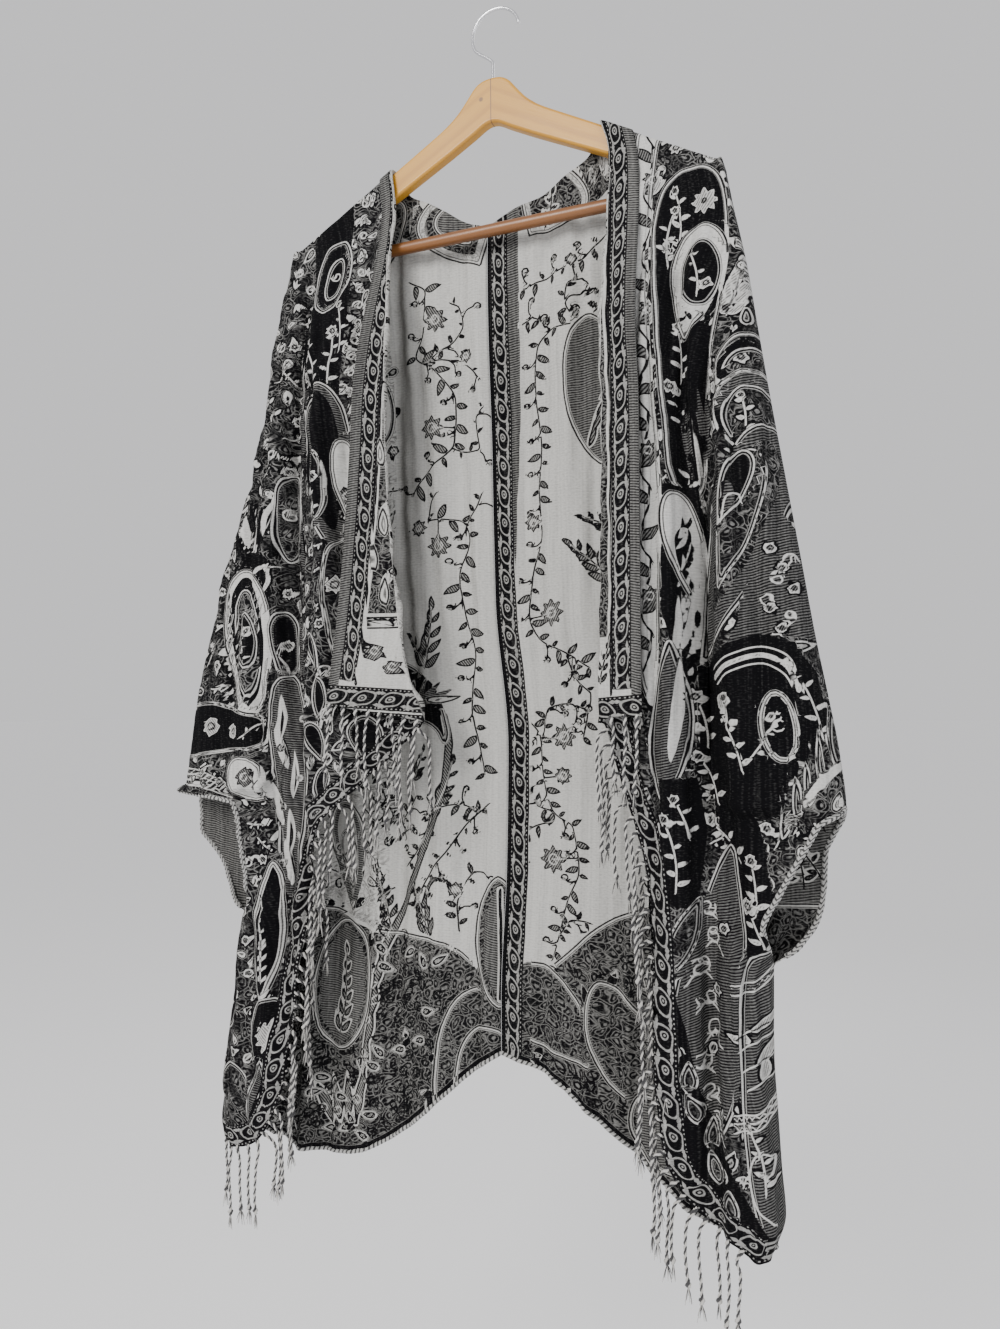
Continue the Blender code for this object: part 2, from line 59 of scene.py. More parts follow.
WOOD_HALF = 0.006       # half the thickness of the hanger's wood
WOOD_TOP = -0.0705      # top of the wood below the hook
ARM_START = (0.055, -0.113)   # out and z where the arm's straight top begins
ARM_SLOPE = 0.5625      # fall of the arm's top for each metre out
ARM_END = 0.2205        # how far out the arm reaches
BAR_Z = -0.222
BAR_RADIUS = 0.006
BAR_SEAT = 0.189        # how far out the arm's inner cheek stands

LAPEL_LIFT = 0.0065     # from the cloth's face to the lapel folded back over it
LAPEL_TOP_LIFT = 0.0040 # the same where both lie on the hanger's arm
CUFF_OPEN = (-0.775, -0.912)  # heights between which the cuff is open
FRONT_RIM = 0.029       # how far the cuff's front edge stands from the hanger's plane
BACK_RIM = 0.022        # and its back edge

STRAND_PITCH = 0.0135   # from one fringe cord to the next
STRAND_LENGTH = 0.072
STRAND_SPREAD = 0.0045  # how far neighbouring strands keep apart
BARE_CORNER = {"left": 0.020, "right": 0.046}   # lower edge without strands beside the outer corner

# How the first rows wrap over the hanger's arm: drop below the top, distance from the plane.
WRAP = ((0.0, SEAM), (0.0002, 0.0050), (0.0026, 0.0084), (0.0120, 0.0092))
FULL_DROP = 0.24        # below the shoulder, where the folds have their full depth
HEM_DEPTH = 0.030       # the folds open out towards this depth at a front's lower edge
HEM_EASE = 0.65         # and this much of the way

# ---------------------------------------------------------------- guide lines
# Each line: height z, distance out from the hanger's plane of symmetry.
LINES = {
    "left": {
        "centre": ((-0.206, 0.016), (-0.376, 0.020), (-0.583, 0.017), (-0.731, 0.004),
                   (-0.847, 0.006), (-0.987, 0.013), (-1.200, 0.013)),
        "fold": ((-0.140, 0.112), (-0.190, 0.106), (-0.250, 0.108), (-0.320, 0.103),
                 (-0.470, 0.098), (-0.590, 0.087), (-0.650, 0.078), (-0.705, 0.056)),
        "selvedge": ((-0.140, 0.124), (-0.190, 0.118), (-0.320, 0.1245), (-0.460, 0.131),
                     (-0.590, 0.142), (-0.690, 0.156)),
        "side": ((-0.180, 0.190), (-0.260, 0.211), (-0.470, 0.221), (-0.790, 0.2245),
                 (-0.910, 0.2225), (-1.000, 0.2165), (-1.050, 0.2175), (-1.160, 0.226)),
        "outer": ((-0.2095, 0.2265), (-0.294, 0.249), (-0.380, 0.2625), (-0.466, 0.2843),
                  (-0.530, 0.3106), (-0.6175, 0.337), (-0.695, 0.357), (-0.772, 0.370),
                  (-0.782, 0.374)),
        "front_rim": ((-0.786, 0.330), (-0.792, 0.290), (-0.840, 0.279), (-0.872, 0.273)),
        "back_rim": ((-0.830, 0.3724), (-0.8515, 0.351), (-0.883, 0.330), (-0.903, 0.308)),
        "flank": ((-0.915, 0.289), (-1.003, 0.303), (-1.067, 0.3116), (-1.120, 0.315),
                  (-1.143, 0.311)),
    },
    "right": {
        "centre": ((-0.206, -0.016), (-0.376, -0.020), (-0.583, -0.017), (-0.731, -0.004),
                   (-0.847, -0.006), (-0.987, -0.013), (-1.200, -0.013)),
        "fold": ((-0.140, 0.114), (-0.180, 0.1234), (-0.330, 0.1237), (-0.420, 0.1246),
                 (-0.510, 0.122), (-0.600, 0.120), (-0.705, 0.1175)),
        "selvedge": ((-0.140, 0.138), (-0.195, 0.150), (-0.340, 0.1535), (-0.430, 0.158),
                     (-0.700, 0.1575)),
        "side": ((-0.180, 0.188), (-0.330, 0.186), (-0.510, 0.196), (-0.640, 0.201),
                 (-0.730, 0.204), (-0.860, 0.212), (-0.950, 0.210), (-1.070, 0.208),
                 (-1.160, 0.214)),
        "outer": ((-0.2095, 0.2265), (-0.280, 0.2395), (-0.353, 0.250), (-0.426, 0.261),
                  (-0.4975, 0.2726), (-0.568, 0.284), (-0.637, 0.295), (-0.688, 0.3044),
                  (-0.730, 0.3116), (-0.780, 0.3165)),
        "front_rim": ((-0.790, 0.300), (-0.8055, 0.291), (-0.848, 0.2675), (-0.882, 0.2525)),
        "back_rim": ((-0.821, 0.300), (-0.846, 0.2985), (-0.873, 0.294), (-0.900, 0.276)),
        "flank": ((-0.915, 0.2555), (-0.987, 0.2545), (-1.036, 0.257), (-1.084, 0.2595),
                  (-1.120, 0.262), (-1.150, 0.2535)),
    },
}

# Lapel stations, from its selvedge to the fold: share of the way in, depth, height of its lower edge.
LAPEL = {
    "left": ((0.0, 0.057, -0.690), (0.35, 0.052, -0.695), (0.70, 0.049, -0.701),
             (1.0, 0.0455, -0.706)),
    "right": ((0.0, 0.056, -0.702), (0.35, 0.052, -0.701), (0.70, 0.049, -0.702),
              (1.0, 0.0455, -0.706)),
}
# Front stations between the fold and the side line: share, depth, height of the lower edge.
FRONT_BODY = {
    "left": ((0.0, 0.039, -0.707), (0.12, 0.037, -0.723), (0.25, 0.034, -0.741),
             (0.38, 0.035, -0.759), (0.50, 0.040, -0.776), (0.62, 0.046, -0.793),
             (0.72, 0.036, -0.806), (0.80, 0.043, -0.850), (0.87, 0.031, -0.900),
             (0.94, 0.017, -0.960)),
    "right": ((0.0, 0.039, -0.707), (0.12, 0.037, -0.740), (0.25, 0.034, -0.785),
              (0.38, 0.036, -0.824), (0.44, 0.040, -0.910), (0.48, 0.044, -1.000),
              (0.54, 0.050, -1.066), (0.66, 0.046, -1.096), (0.78, 0.034, -1.112),
              (0.90, 0.018, -1.124)),
}
# Front stations between the side line and the outer edge: share, depth, height of the lower edge.
FRONT_SLEEVE = {
    "left": ((0.0, 0.010, -1.020), (0.10, 0.020, -1.087), (0.22, 0.032, -1.120),
             (0.38, 0.035, -1.136), (0.54, 0.026, -1.142), (0.70, 0.029, -1.144),
             (0.84, 0.023, -1.144), (0.93, 0.015, -1.143), (0.98, 0.007, -1.143),
             (1.0, SEAM, -1.143)),
    "right": ((0.0, 0.011, -1.130), (0.12, 0.023, -1.134), (0.26, 0.034, -1.137),
              (0.42, 0.038, -1.142), (0.58, 0.029, -1.147), (0.72, 0.030, -1.150),
              (0.84, 0.023, -1.151), (0.93, 0.015, -1.151), (0.98, 0.007, -1.150),
              (1.0, SEAM, -1.150)),
}
# Back stations below the open neck, from the centre seam out to the neck point: share and depth.
BACK_NECK = ((0.0, 0.040), (0.11, 0.036), (0.27, 0.041), (0.47, 0.037), (0.67, 0.031),
             (0.85, 0.036), (0.985, 0.041))
# Back stations below the shoulder, from the neck point out to the side line: share and depth.
BACK_BODY = ((0.02, 0.041), (0.27, 0.036), (0.53, 0.030), (0.78, 0.034))
# Back stations between the side line and the outer edge: share and depth.
BACK_SLEEVE = ((0.0, 0.028), (0.14, 0.020), (0.28, 0.027), (0.42, 0.031), (0.57, 0.022),
               (0.72, 0.025), (0.84, 0.020), (0.93, 0.013), (0.98, 0.007), (1.0, SEAM))
NECK_POINT = 0.112      # how far out the neck's opening reaches along the arm
# Neckline behind the hanger, from the centre seam out: distance out, height, depth.
NECKLINE = {
    "left": ((0.016, -0.206, 0.022), (0.030, -0.203, 0.016), (0.050, -0.190, 0.021),
             (0.074, -0.1745, 0.014), (0.097, -0.163, 0.012), (0.1115, -0.1434, 0.0097)),
    "right": ((-0.016, -0.206, 0.022), (0.016, -0.196, 0.016), (0.0485, -0.186, 0.020),
              (0.075, -0.173, 0.013), (0.097, -0.162, 0.012), (0.1115, -0.1430, 0.0100)),
}
# Back hem: distance out, height.
HEM = {
    "left": ((0.013, -1.0365), (0.036, -1.051), (0.069, -1.0786), (0.115, -1.121),
             (0.160, -1.1515), (0.200, -1.161), (0.237, -1.160), (0.270, -1.150),
             (0.311, -1.143)),
    "right": ((-0.013, -1.0365), (0.012, -1.0416), (0.053, -1.060), (0.083, -1.079),
              (0.122, -1.110), (0.160, -1.141), (0.200, -1.159), (0.230, -1.159),
              (0.2535, -1.150)),
}

SIDES = {"left": -1, "right": 1}

# ---------------------------------------------------------------- sizes of the fine cloth
SHEET = 0.0010          # thickness of the fine cloth
WRAP_ROWS = 9           # rows where the cloth wraps over the arm
HANG_ROWS = 312         # and below
COLUMN_STEP = 0.0030    # between columns

# The photograph's view: where it was taken from, its angles in degrees, and its lens on a sensor 36 mm high.
VIEW_PLACE = Vector((0.3621, -0.8554, -0.6906))
VIEW_TURN, VIEW_PITCH, VIEW_ROLL = 22.7, 2.4, -0.3
SENSOR = 36
VIEW_LENS = 960 / 1329 * SENSOR

FLOOR_Z = -1.72
FLOOR_HALF = 60.0       # so wide that its far edge meets the background unseen
BACKGROUND = (0.84, 0.835, 0.85, 1)


# ---------------------------------------------------------------- curves through tables
def smooth(share):
    share = np.clip(share, 0.0, 1.0)
    return share * share * (3 - 2 * share)


def spline(keys, values, at):
    """Monotone cubic through rising keys; values may have several columns."""
    keys = np.asarray(keys, float)
    values = np.asarray(values, float)
    flat = values.reshape(len(keys), -1)
    at = np.clip(np.asarray(at, float), keys[0], keys[-1])
    step = np.diff(keys)[:, None]
    rise = np.diff(flat, axis=0) / step
    slope = np.zeros_like(flat)
    slope[0], slope[-1] = rise[0], rise[-1]
    if len(keys) > 2:
        before, after = rise[:-1], rise[1:]
        same = before * after > 0
        w_after, w_before = 2 * step[1:] + step[:-1], step[1:] + 2 * step[:-1]
        safe_before, safe_after = np.where(same, before, 1.0), np.where(same, after, 1.0)
        mean = (w_after + w_before) / (w_after / safe_before + w_before / safe_after)
        slope[1:-1] = np.where(same, mean, 0.0)
    k = np.clip(np.searchsorted(keys, at.ravel(), side="right") - 1, 0, len(keys) - 2)
    width = (keys[k + 1] - keys[k])[:, None]
    t = ((at.ravel() - keys[k])[:, None]) / width
    out = (flat[k] * (1 + 2 * t) * (1 - t) ** 2 + slope[k] * width * t * (1 - t) ** 2
           + flat[k + 1] * t * t * (3 - 2 * t) + slope[k + 1] * width * t * t * (t - 1))
    return out.reshape(at.shape + values.shape[1:])


def run_of(points):
    """Length from a line's first point to each of its points."""
    return np.concatenate(([0.0], np.cumsum(np.linalg.norm(np.diff(points, axis=0), axis=1))))


def unit(vectors):
    return vectors / (np.linalg.norm(vectors, axis=-1, keepdims=True) + 1e-12)


def along(table, at):
    """Smooth value of a table of (key, value) rows, whichever way the keys run."""
    keys = [row[0] for row in table]
    values = [row[1] for row in table]
    if keys[0] > keys[-1]:
        keys, values = keys[::-1], values[::-1]
    return spline(keys, values, at)


def shoulder(out):
    return ARM_START[1] - ARM_SLOPE * (out - ARM_START[0]) + 3 * GAP


def outer_line(side, rim):
    lines = LINES[side]
    return lines["outer"] + lines[rim] + lines["flank"]


def cuff_opening(z):
    top, bottom = CUFF_OPEN
    share = (top - z) / (top - bottom)
    inside = (share > 0) & (share < 1)
    return np.where(inside, np.minimum(smooth(share / 0.10), smooth((1 - share) / 0.30)), 0.0)


# ---------------------------------------------------------------- cloth grids
def seat(out_at):
    z = -0.17
    for _ in range(8):
        z = float(shoulder(out_at(np.array([z]))[0]))
    return z


def hang(top, bottom, depth, lift=0.0, ease=0.0):
    """Heights and depths of a station's fine rows."""
    wrap = np.array(WRAP)
    keys = run_of(wrap)
    fine = spline(keys, wrap, np.linspace(0, keys[-1], WRAP_ROWS))
    turn = smooth(np.linspace(0, 1, WRAP_ROWS))
    z_wrap = top - fine[:, 0] + lift * (1 - turn)
    y_wrap = fine[:, 1] + lift * np.sqrt(turn)
    start_z = top - WRAP[-1][0]
    z = start_z + (bottom - start_z) * np.linspace(0, 1, HANG_ROWS + 1)[1:]
    fullness = smooth((start_z - z) / FULL_DROP)
    share = (top - z) / (top - bottom)
    start = WRAP[-1][1] + lift
    eased = depth + (HEM_DEPTH - depth) * ease * smooth((share - 0.75) / 0.25)
    y = start + (eased - start) * fullness
    return np.concatenate((z_wrap, z)), np.concatenate((y_wrap, y))


def station(out_at, z, away):
    return np.stack((out_at(z), away, z), axis=1)


def front_stations(side):
    lines = LINES[side]
    stations = []
    for share, depth, bottom in LAPEL[side]:
        def lapel_out(z, share=share):
            edge = along(lines["selvedge"], z)
            return edge + (along(lines["fold"], z) - edge) * share
        stations.append(station(lapel_out, *hang(seat(lapel_out), bottom, depth, LAPEL_TOP_LIFT)))
    fold_depth = FRONT_BODY[side][0][1]
    for angle in (50, 0, -50):
        turned = (1 + math.sin(math.radians(angle))) / 2
        reach = LAPEL_LIFT / 2 * math.cos(math.radians(angle))

        def fold_out(z, reach=reach):
            return along(lines["fold"], z) - reach
        stations.append(station(fold_out, *hang(seat(fold_out), FRONT_BODY[side][0][2],
                                                fold_depth + LAPEL_LIFT * turned, LAPEL_TOP_LIFT * turned)))
    for share, depth, bottom in FRONT_BODY[side]:
        def body_out(z, share=share):
            fold = along(lines["fold"], z)
            return fold + (along(lines["side"], z) - fold) * share
        stations.append(station(body_out, *hang(seat(body_out), bottom, depth,
                                                ease=HEM_EASE * float(smooth(share / 0.3)))))
    outer = outer_line(side, "front_rim")
    for share, depth, bottom in FRONT_SLEEVE[side]:
        ease = HEM_EASE * float(smooth((0.84 - share) / 0.3))
        stations.append(sleeve_station(side, outer, (share, depth, bottom), FRONT_SLEEVE[side][0][1],
                                       FRONT_RIM, ease))
    return stations


def sleeve_station(side, outer, place, side_depth, rim_depth, ease=0.0):
    lines = LINES[side]
    share, depth, bottom = place

    def out_at(z):
        inner = along(lines["side"], z)
        return inner + (along(outer, z) - inner) * share

    z, away = hang(seat(out_at), bottom, depth, ease=ease)
    edge = float(smooth((share - 0.80) / 0.20))
    away = away + (depth - away) * edge * (np.arange(len(z)) > 0)
    rim = side_depth + (rim_depth - side_depth) * share ** 0.6
    away = away + (rim - away) * cuff_opening(z)
    return station(out_at, z, away)


def back_stations(side):
    lines = LINES[side]
    stations = []
    hem_z = HEM[side][4][1]
    centre_top = float(along(lines["centre"], NECKLINE[side][0][1])) + SEAM
    side_top = float(along(lines["side"], shoulder(NECK_POINT)))
    neck_share = (NECK_POINT - centre_top) / (side_top - centre_top)

    def body_line(share):
        def out_at(z):
            centre = along(lines["centre"], z) + SEAM
            return centre + (along(lines["side"], z) - centre) * share
        return out_at

    rows = np.concatenate((np.linspace(0, 0.012, WRAP_ROWS),
                           0.012 + 0.988 * np.linspace(0, 1, HANG_ROWS + 1)[1:]))
    for neck_part, depth in BACK_NECK:
        out_at = body_line(neck_share * neck_part)
        bottom = float(along(HEM[side], out_at(np.array([hem_z]))[0]))
        neck = centre_top + (NECK_POINT - centre_top) * neck_part
        top = float(along([(out, z) for out, z, _ in NECKLINE[side]], neck))
        start = float(along([(out, away) for out, _, away in NECKLINE[side]], neck))
        z = top + (bottom - top) * rows
        fullness = smooth((top - z) / FULL_DROP)
        stations.append(station(out_at, z, start + (depth - start) * fullness))
    for shoulder_part, depth in BACK_BODY:
        out_at = body_line(neck_share + (1 - neck_share) * shoulder_part)
        bottom = float(along(HEM[side], out_at(np.array([hem_z]))[0]))
        stations.append(station(out_at, *hang(seat(out_at), bottom, depth)))
    outer = outer_line(side, "back_rim")
    for share, depth in BACK_SLEEVE:
        side_out = float(along(lines["side"], hem_z))
        out = side_out + (float(along(outer, hem_z)) - side_out) * share
        bottom = float(along(HEM[side], out))
        if share == 1.0:
            bottom = HEM[side][-1][1]
        stations.append(sleeve_station(side, outer, (share, depth, bottom), BACK_SLEEVE[0][1], BACK_RIM))
    return stations


class Grid:
    """Points of one panel, columns by rows, with the cloth's own across and down lengths in metres."""

    def __init__(self, stations, side, facing, fold_at=None):
        sign = SIDES[side]
        coarse = np.array(stations)
        coarse = np.stack((sign * coarse[:, :, 0], facing * coarse[:, :, 1], coarse[:, :, 2]), axis=2)
        steps = np.linalg.norm(np.diff(coarse, axis=0), axis=2).mean(axis=1)
        keys = np.concatenate(([0.0], np.cumsum(steps)))
        places = [0.0]
        for k, step in enumerate(steps):
            count = max(1, round(step / COLUMN_STEP))
            if fold_at and fold_at[0] <= k <= fold_at[1]:
                count = max(count, 3)
            places += list(keys[k] + step * np.arange(1, count + 1) / count)
        self.points = spline(keys, coarse, np.array(places))
        self.sign, self.facing = sign, facing
        self.measure()
        self.fold_column = None
        if fold_at:
            self.fold_column = int(np.searchsorted(places, keys[fold_at[0] + 1]))

    def measure(self):
        steps = np.linalg.norm(np.diff(self.points, axis=0), axis=2)
        # Measured level by level: rows of neighbouring columns may differ in height, so the height part is left out.
        flat = np.linalg.norm(np.diff(self.points[:, :, :2], axis=0), axis=2)
        self.across = np.concatenate((np.zeros((1, steps.shape[1])), np.cumsum(flat, axis=0)))
        self.down = -self.points[:, :, 2]

    def normals(self):
        wide = np.gradient(self.points, axis=0)
        tall = np.gradient(self.points, axis=1)
        normal = unit(np.cross(wide, tall))
        if (normal[:, :, 1].mean() * self.facing) < 0:
            normal = -normal
        return normal

    def inset(self):
        """0 at the panel's sewn side edges and its top, rising to 1 over 3 cm inside."""
        total = self.across[-1]
        side = np.minimum(self.across, total - self.across)
        top = np.linalg.norm(self.points - self.points[:, :1], axis=2)
        return smooth(side / 0.03) * smooth(top / 0.05)


# ---------------------------------------------------------------- folds and creases
# Main creases of each front: points (x, z), depth pressed towards the hanger's plane, half width.
CREASES = {
    "left": (
        (((-0.196, -0.36), (-0.200, -0.55), (-0.203, -0.75), (-0.196, -0.95), (-0.190, -1.08)), 0.019, 0.0085),
        (((-0.228, -0.50), (-0.214, -0.66), (-0.211, -0.82)), 0.007, 0.008),
        (((-0.140, -0.24), (-0.146, -0.42), (-0.158, -0.60), (-0.168, -0.74)), 0.006, 0.007),
        (((-0.180, -0.30), (-0.176, -0.50), (-0.178, -0.70)), -0.004, 0.009),
        (((-0.335, -0.770), (-0.300, -0.795), (-0.262, -0.800)), 0.006, 0.010),
        (((-0.258, -0.60), (-0.246, -0.75), (-0.232, -0.90), (-0.228, -1.02)), 0.006, 0.010),
    ),
    "right": (
        (((0.160, -0.30), (0.163, -0.50), (0.165, -0.75), (0.168, -0.95)), 0.013, 0.006),
        (((0.213, -0.34), (0.210, -0.48), (0.204, -0.64), (0.207, -0.74)), 0.020, 0.008),
        (((0.207, -0.74), (0.226, -0.83), (0.240, -0.90)), 0.012, 0.010),
        (((0.196, -0.30), (0.188, -0.50), (0.184, -0.66)), -0.004, 0.010),
        (((0.236, -0.52), (0.258, -0.66), (0.272, -0.76)), 0.005, 0.013),
        (((0.300, -0.700), (0.286, -0.760), (0.268, -0.800)), 0.007, 0.011),
        (((0.196, -0.86), (0.206, -0.98), (0.214, -1.08)), 0.008, 0.012),
    ),
}
BACK_CREASES = {
    "left": (
        (((-0.075, -0.26), (-0.070, -0.60), (-0.066, -0.95)), 0.004, 0.012),
        (((-0.150, -0.35), (-0.150, -0.70), (-0.155, -1.05)), 0.006, 0.012),
    ),
    "right": (
        (((0.055, -0.26), (0.050, -0.60), (0.052, -0.95)), 0.004, 0.012),
        (((0.120, -0.35), (0.118, -0.70), (0.120, -1.02)), 0.006, 0.012),
    ),
}


def to_polyline(points, line):
    """Distance from 2D points (n, 2) to a polyline."""
    best = np.full(len(points), 1e9)
    line = np.asarray(line, float)
    for a, b in zip(line, line[1:]):
        ab = b - a
        t = np.clip(((points - a) @ ab) / max(float(ab @ ab), 1e-12), 0, 1)
        best = np.minimum(best, np.linalg.norm(points - a - t[:, None] * ab, axis=1))
    return best


def round_line(points, steps=8):
    """A smooth line through a few points."""
    points = np.asarray(points, float)
    lengths = run_of(points)
    k = np.linspace(0, lengths[-1], steps * (len(points) - 1) + 1)
    return spline(lengths, points, k)


def crease(grid, table):
    """Presses the listed creases into a panel, beside the lapel only."""
    flat = grid.points[:, :, [0, 2]].reshape(-1, 2)
    shape = grid.points.shape[:2]
    keep = grid.inset()
    if grid.fold_column:
        keep = keep * smooth((np.arange(shape[0]) - grid.fold_column - 3) / 10)[:, None]
    for points, depth, width in table:
        away = to_polyline(flat, round_line(points, 4)).reshape(shape)
        length = np.abs(points[0][1] - points[-1][1]) + 1e-6
        run = (points[0][1] - grid.points[:, :, 2]) / (points[0][1] - points[-1][1] + 1e-9)
        ends = np.where(length > 0.05, smooth((run + 0.1) / 0.25) * smooth((1.1 - run) / 0.25), 1.0)
        press = depth * np.exp(-(away / width) ** 2) * ends * keep
        grid.points[:, :, 1] -= grid.facing * press


def ripple(grid, strength=1.0, seed=0.0):
    """Small uneven folds and the crinkle of soft woven cloth."""
    a, b = grid.across, grid.down
    keep = grid.inset() * strength
    fine = (0.0016 * np.sin(2 * math.pi * a / 0.034 + 2.2 * np.sin(b * 7 + seed) + seed)
            + 0.0010 * np.sin(2 * math.pi * a / 0.0192 + 3.1 * np.sin(b * 5.3 + 1.7 * seed) + 9 * b)
            + 0.0009 * np.sin(2 * math.pi * (b * 0.9 + a * 0.5) / 0.055 + 3 * np.sin(a * 17 + 4 * b + seed))
            + 0.0003 * np.sin(2 * math.pi * b / 0.021 + 5 * np.sin(a * 31 + seed) + 3 * np.sin(b * 43)))
    grid.points += grid.normals() * (fine * keep)[:, :, None]


def round_tip(grid):
    """Lets the shoulder's outer corner sink into a soft round beyond the hanger's end."""
    out = np.abs(grid.points[:, :1, 0])
    start = ARM_END + 0.003
    near = np.clip((out - start) / max(float(out[-1, 0]) - start, 0.004), 0, 1)
    fall = smooth(1 - (grid.points[:, :1, 2] - grid.points[:, :, 2]) / 0.12)
    grid.points[:, :, 2] -= 0.014 * near ** 2 * fall
    grid.points[:, :, 0] -= grid.sign * 0.003 * near ** 2 * fall


# ---------------------------------------------------------------- meshes
def new_object(name, mesh):
    obj = bpy.data.objects.new(name, mesh)
    bpy.context.scene.collection.objects.link(obj)
    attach(obj, "root")
    return obj


def mesh_from(name, verts, faces, mats, indices=None):
    mesh = bpy.data.meshes.new(name)
    mesh.from_pydata([tuple(v) for v in np.asarray(verts, float).tolist()], [], faces)
    for mat in mats:
        mesh.materials.append(mat)
    if indices is not None:
        mesh.polygons.foreach_set("material_index", np.asarray(indices, np.int32))
    mesh.shade_smooth()
    mesh.update()
    return mesh


def vector_attribute(mesh, name, values):
    made = mesh.attributes.new(name, "FLOAT_VECTOR", "POINT")
    made.data.foreach_set("vector", np.ascontiguousarray(values, dtype=np.float32).ravel())


def shell(name, grid, fields, mats):
    """Thin closed cloth: the grid is its inner face, and the outer face stands off by the cloth's thickness."""
    n, m = grid.points.shape[:2]
    normal = grid.normals()
    inner = grid.points.reshape(-1, 3)
    outer = (grid.points + normal * SHEET).reshape(-1, 3)
    index = np.arange(n * m).reshape(n, m)
    quads = np.stack((index[:-1, :-1], index[1:, :-1], index[1:, 1:], index[:-1, 1:]), axis=2).reshape(-1, 4)
    a, b, c = (grid.points.reshape(-1, 3)[quads[:, k]] for k in (0, 1, 2))
    facing = np.einsum("ij,ij->i", np.cross(b - a, c - b), normal.reshape(-1, 3)[quads[:, 0]])
    if np.median(facing) < 0:
        quads = quads[:, ::-1]
    shift = n * m
    loop = [int(p) for part in (index[:, 0], index[-1, 1:], index[-2::-1, -1], index[0, -2:0:-1]) for p in part]
    rim = [(p, q, q + shift, p + shift) for p, q in zip(loop, loop[1:] + loop[:1])]
    outward = quads + shift
    inward = quads[:, ::-1]
    faces = outward.tolist() + inward.tolist() + rim
    kinds = [0] * len(outward) + [1] * len(inward) + [0] * len(rim)
    mesh = mesh_from(name, np.concatenate((inner, outer)), faces, mats, kinds)
    bm = bmesh.new()
    bm.from_mesh(mesh)
    bmesh.ops.recalc_face_normals(bm, faces=bm.faces[:])
    bm.to_mesh(mesh)
    bm.free()
    for key, values in fields.items():
        flat = values.reshape(-1, 3)
        vector_attribute(mesh, key, np.concatenate((flat, flat)))
    return new_object(name, mesh)


def tube(paths, radius, sides=6, caps=True):
    """Vertices and faces of round tubes along paths; radius is one number or one for each point."""
    verts, faces = [], []
    for path in paths:
        path = np.asarray(path, float)
        n = len(path)
        r = np.broadcast_to(np.asarray(radius, float), (n,))
        tangent = unit(np.gradient(path, axis=0))
        ref = np.array([0.0, 1.0, 0.0]) if abs(tangent[0, 1]) < 0.8 else np.array([1.0, 0.0, 0.0])
        side = unit(np.cross(tangent, ref))
        other = np.cross(tangent, side)
        turn = np.arange(sides) * 2 * math.pi / sides
        ring = (path[:, None, :] + r[:, None, None] * (np.cos(turn)[None, :, None] * side[:, None, :]
                + np.sin(turn)[None, :, None] * other[:, None, :]))
        start = len(verts)
        verts += ring.reshape(-1, 3).tolist()
        for i in range(n - 1):
            for j in range(sides):
                p, q = start + i * sides + j, start + i * sides + (j + 1) % sides
                faces.append((p, q, q + sides, p + sides))
        if caps:
            faces.append(tuple(start + j for j in range(sides))[::-1])
            faces.append(tuple(start + (n - 1) * sides + j for j in range(sides)))
    return verts, faces


# ---------------------------------------------------------------- drawing on the cloth
FAR = 0.02              # a distance at which nothing is drawn any more
FILLS = ("flip", "hatch", "busy", "scroll")     # shades turned over, hatching, dark filigree, pale filigree
THIN = 0.0014           # width of a thin line
LAPEL_SHIFT = 2.0       # lapel drawings are kept this far from the body's, because the two overlap in place
BAND = 0.020            # width of the small-paisley band
STRIPE = 0.010          # width of the plain grey stripe beside a long edge


def turned(points, angle):
    c, s = math.cos(math.radians(angle)), math.sin(math.radians(angle))
    return np.asarray(points, float) @ np.array([[c, s], [-s, c]])


def drop_shape(x, z, half_wide, half_tall, angle=0.0, hook=0.0, tip=1.2):
    """Outline of a paisley: a drop with its tip down before it is turned, its tip hooked sideways."""
    t = np.linspace(0, 2 * math.pi, 41)[:-1]
    down = np.cos(t)
    out = np.sin(t) * np.sin(t / 2) ** tip * 1.12
    points = np.stack((out * half_wide + hook * half_tall * ((down + 1) / 2) ** 2, -down * half_tall), axis=1)
    return turned(points, angle) + (x, z)


def oval_shape(x, z, half_wide, half_tall, angle=0.0, point=0.0):
    """Outline of an oval; point above 0 draws its two ends to points."""
    t = np.linspace(0, 2 * math.pi, 33)[:-1]
    out = np.cos(t) * np.abs(np.cos(t)) ** point
    return turned(np.stack((out * half_wide, np.sin(t) * half_tall), axis=1), angle) + (x, z)


def leaf_shape(x, z, length, width, angle, curl=0.15):
    """Outline of a leaf from its foot at x, z."""
    t = np.linspace(0, 1, 7)
    belly = width / 2 * np.sin(math.pi * t ** 0.8)
    spine = curl * length * t * t
    top = np.stack((t * length, spine + belly), axis=1)
    low = np.stack((t * length, spine - belly), axis=1)
    return turned(np.concatenate((top, low[-2:0:-1])), angle) + (x, z)


def curl_line(x, z, radius, start, turns=1.1, way=1):
    """A tendril's line that winds in from its outer end."""
    t = np.linspace(0, 1, 12)
    r = radius * (1 - 0.75 * t)
    a = math.radians(start) + way * 2 * math.pi * turns * t
    return np.stack((x + r * np.cos(a), z + r * np.sin(a)), axis=1)


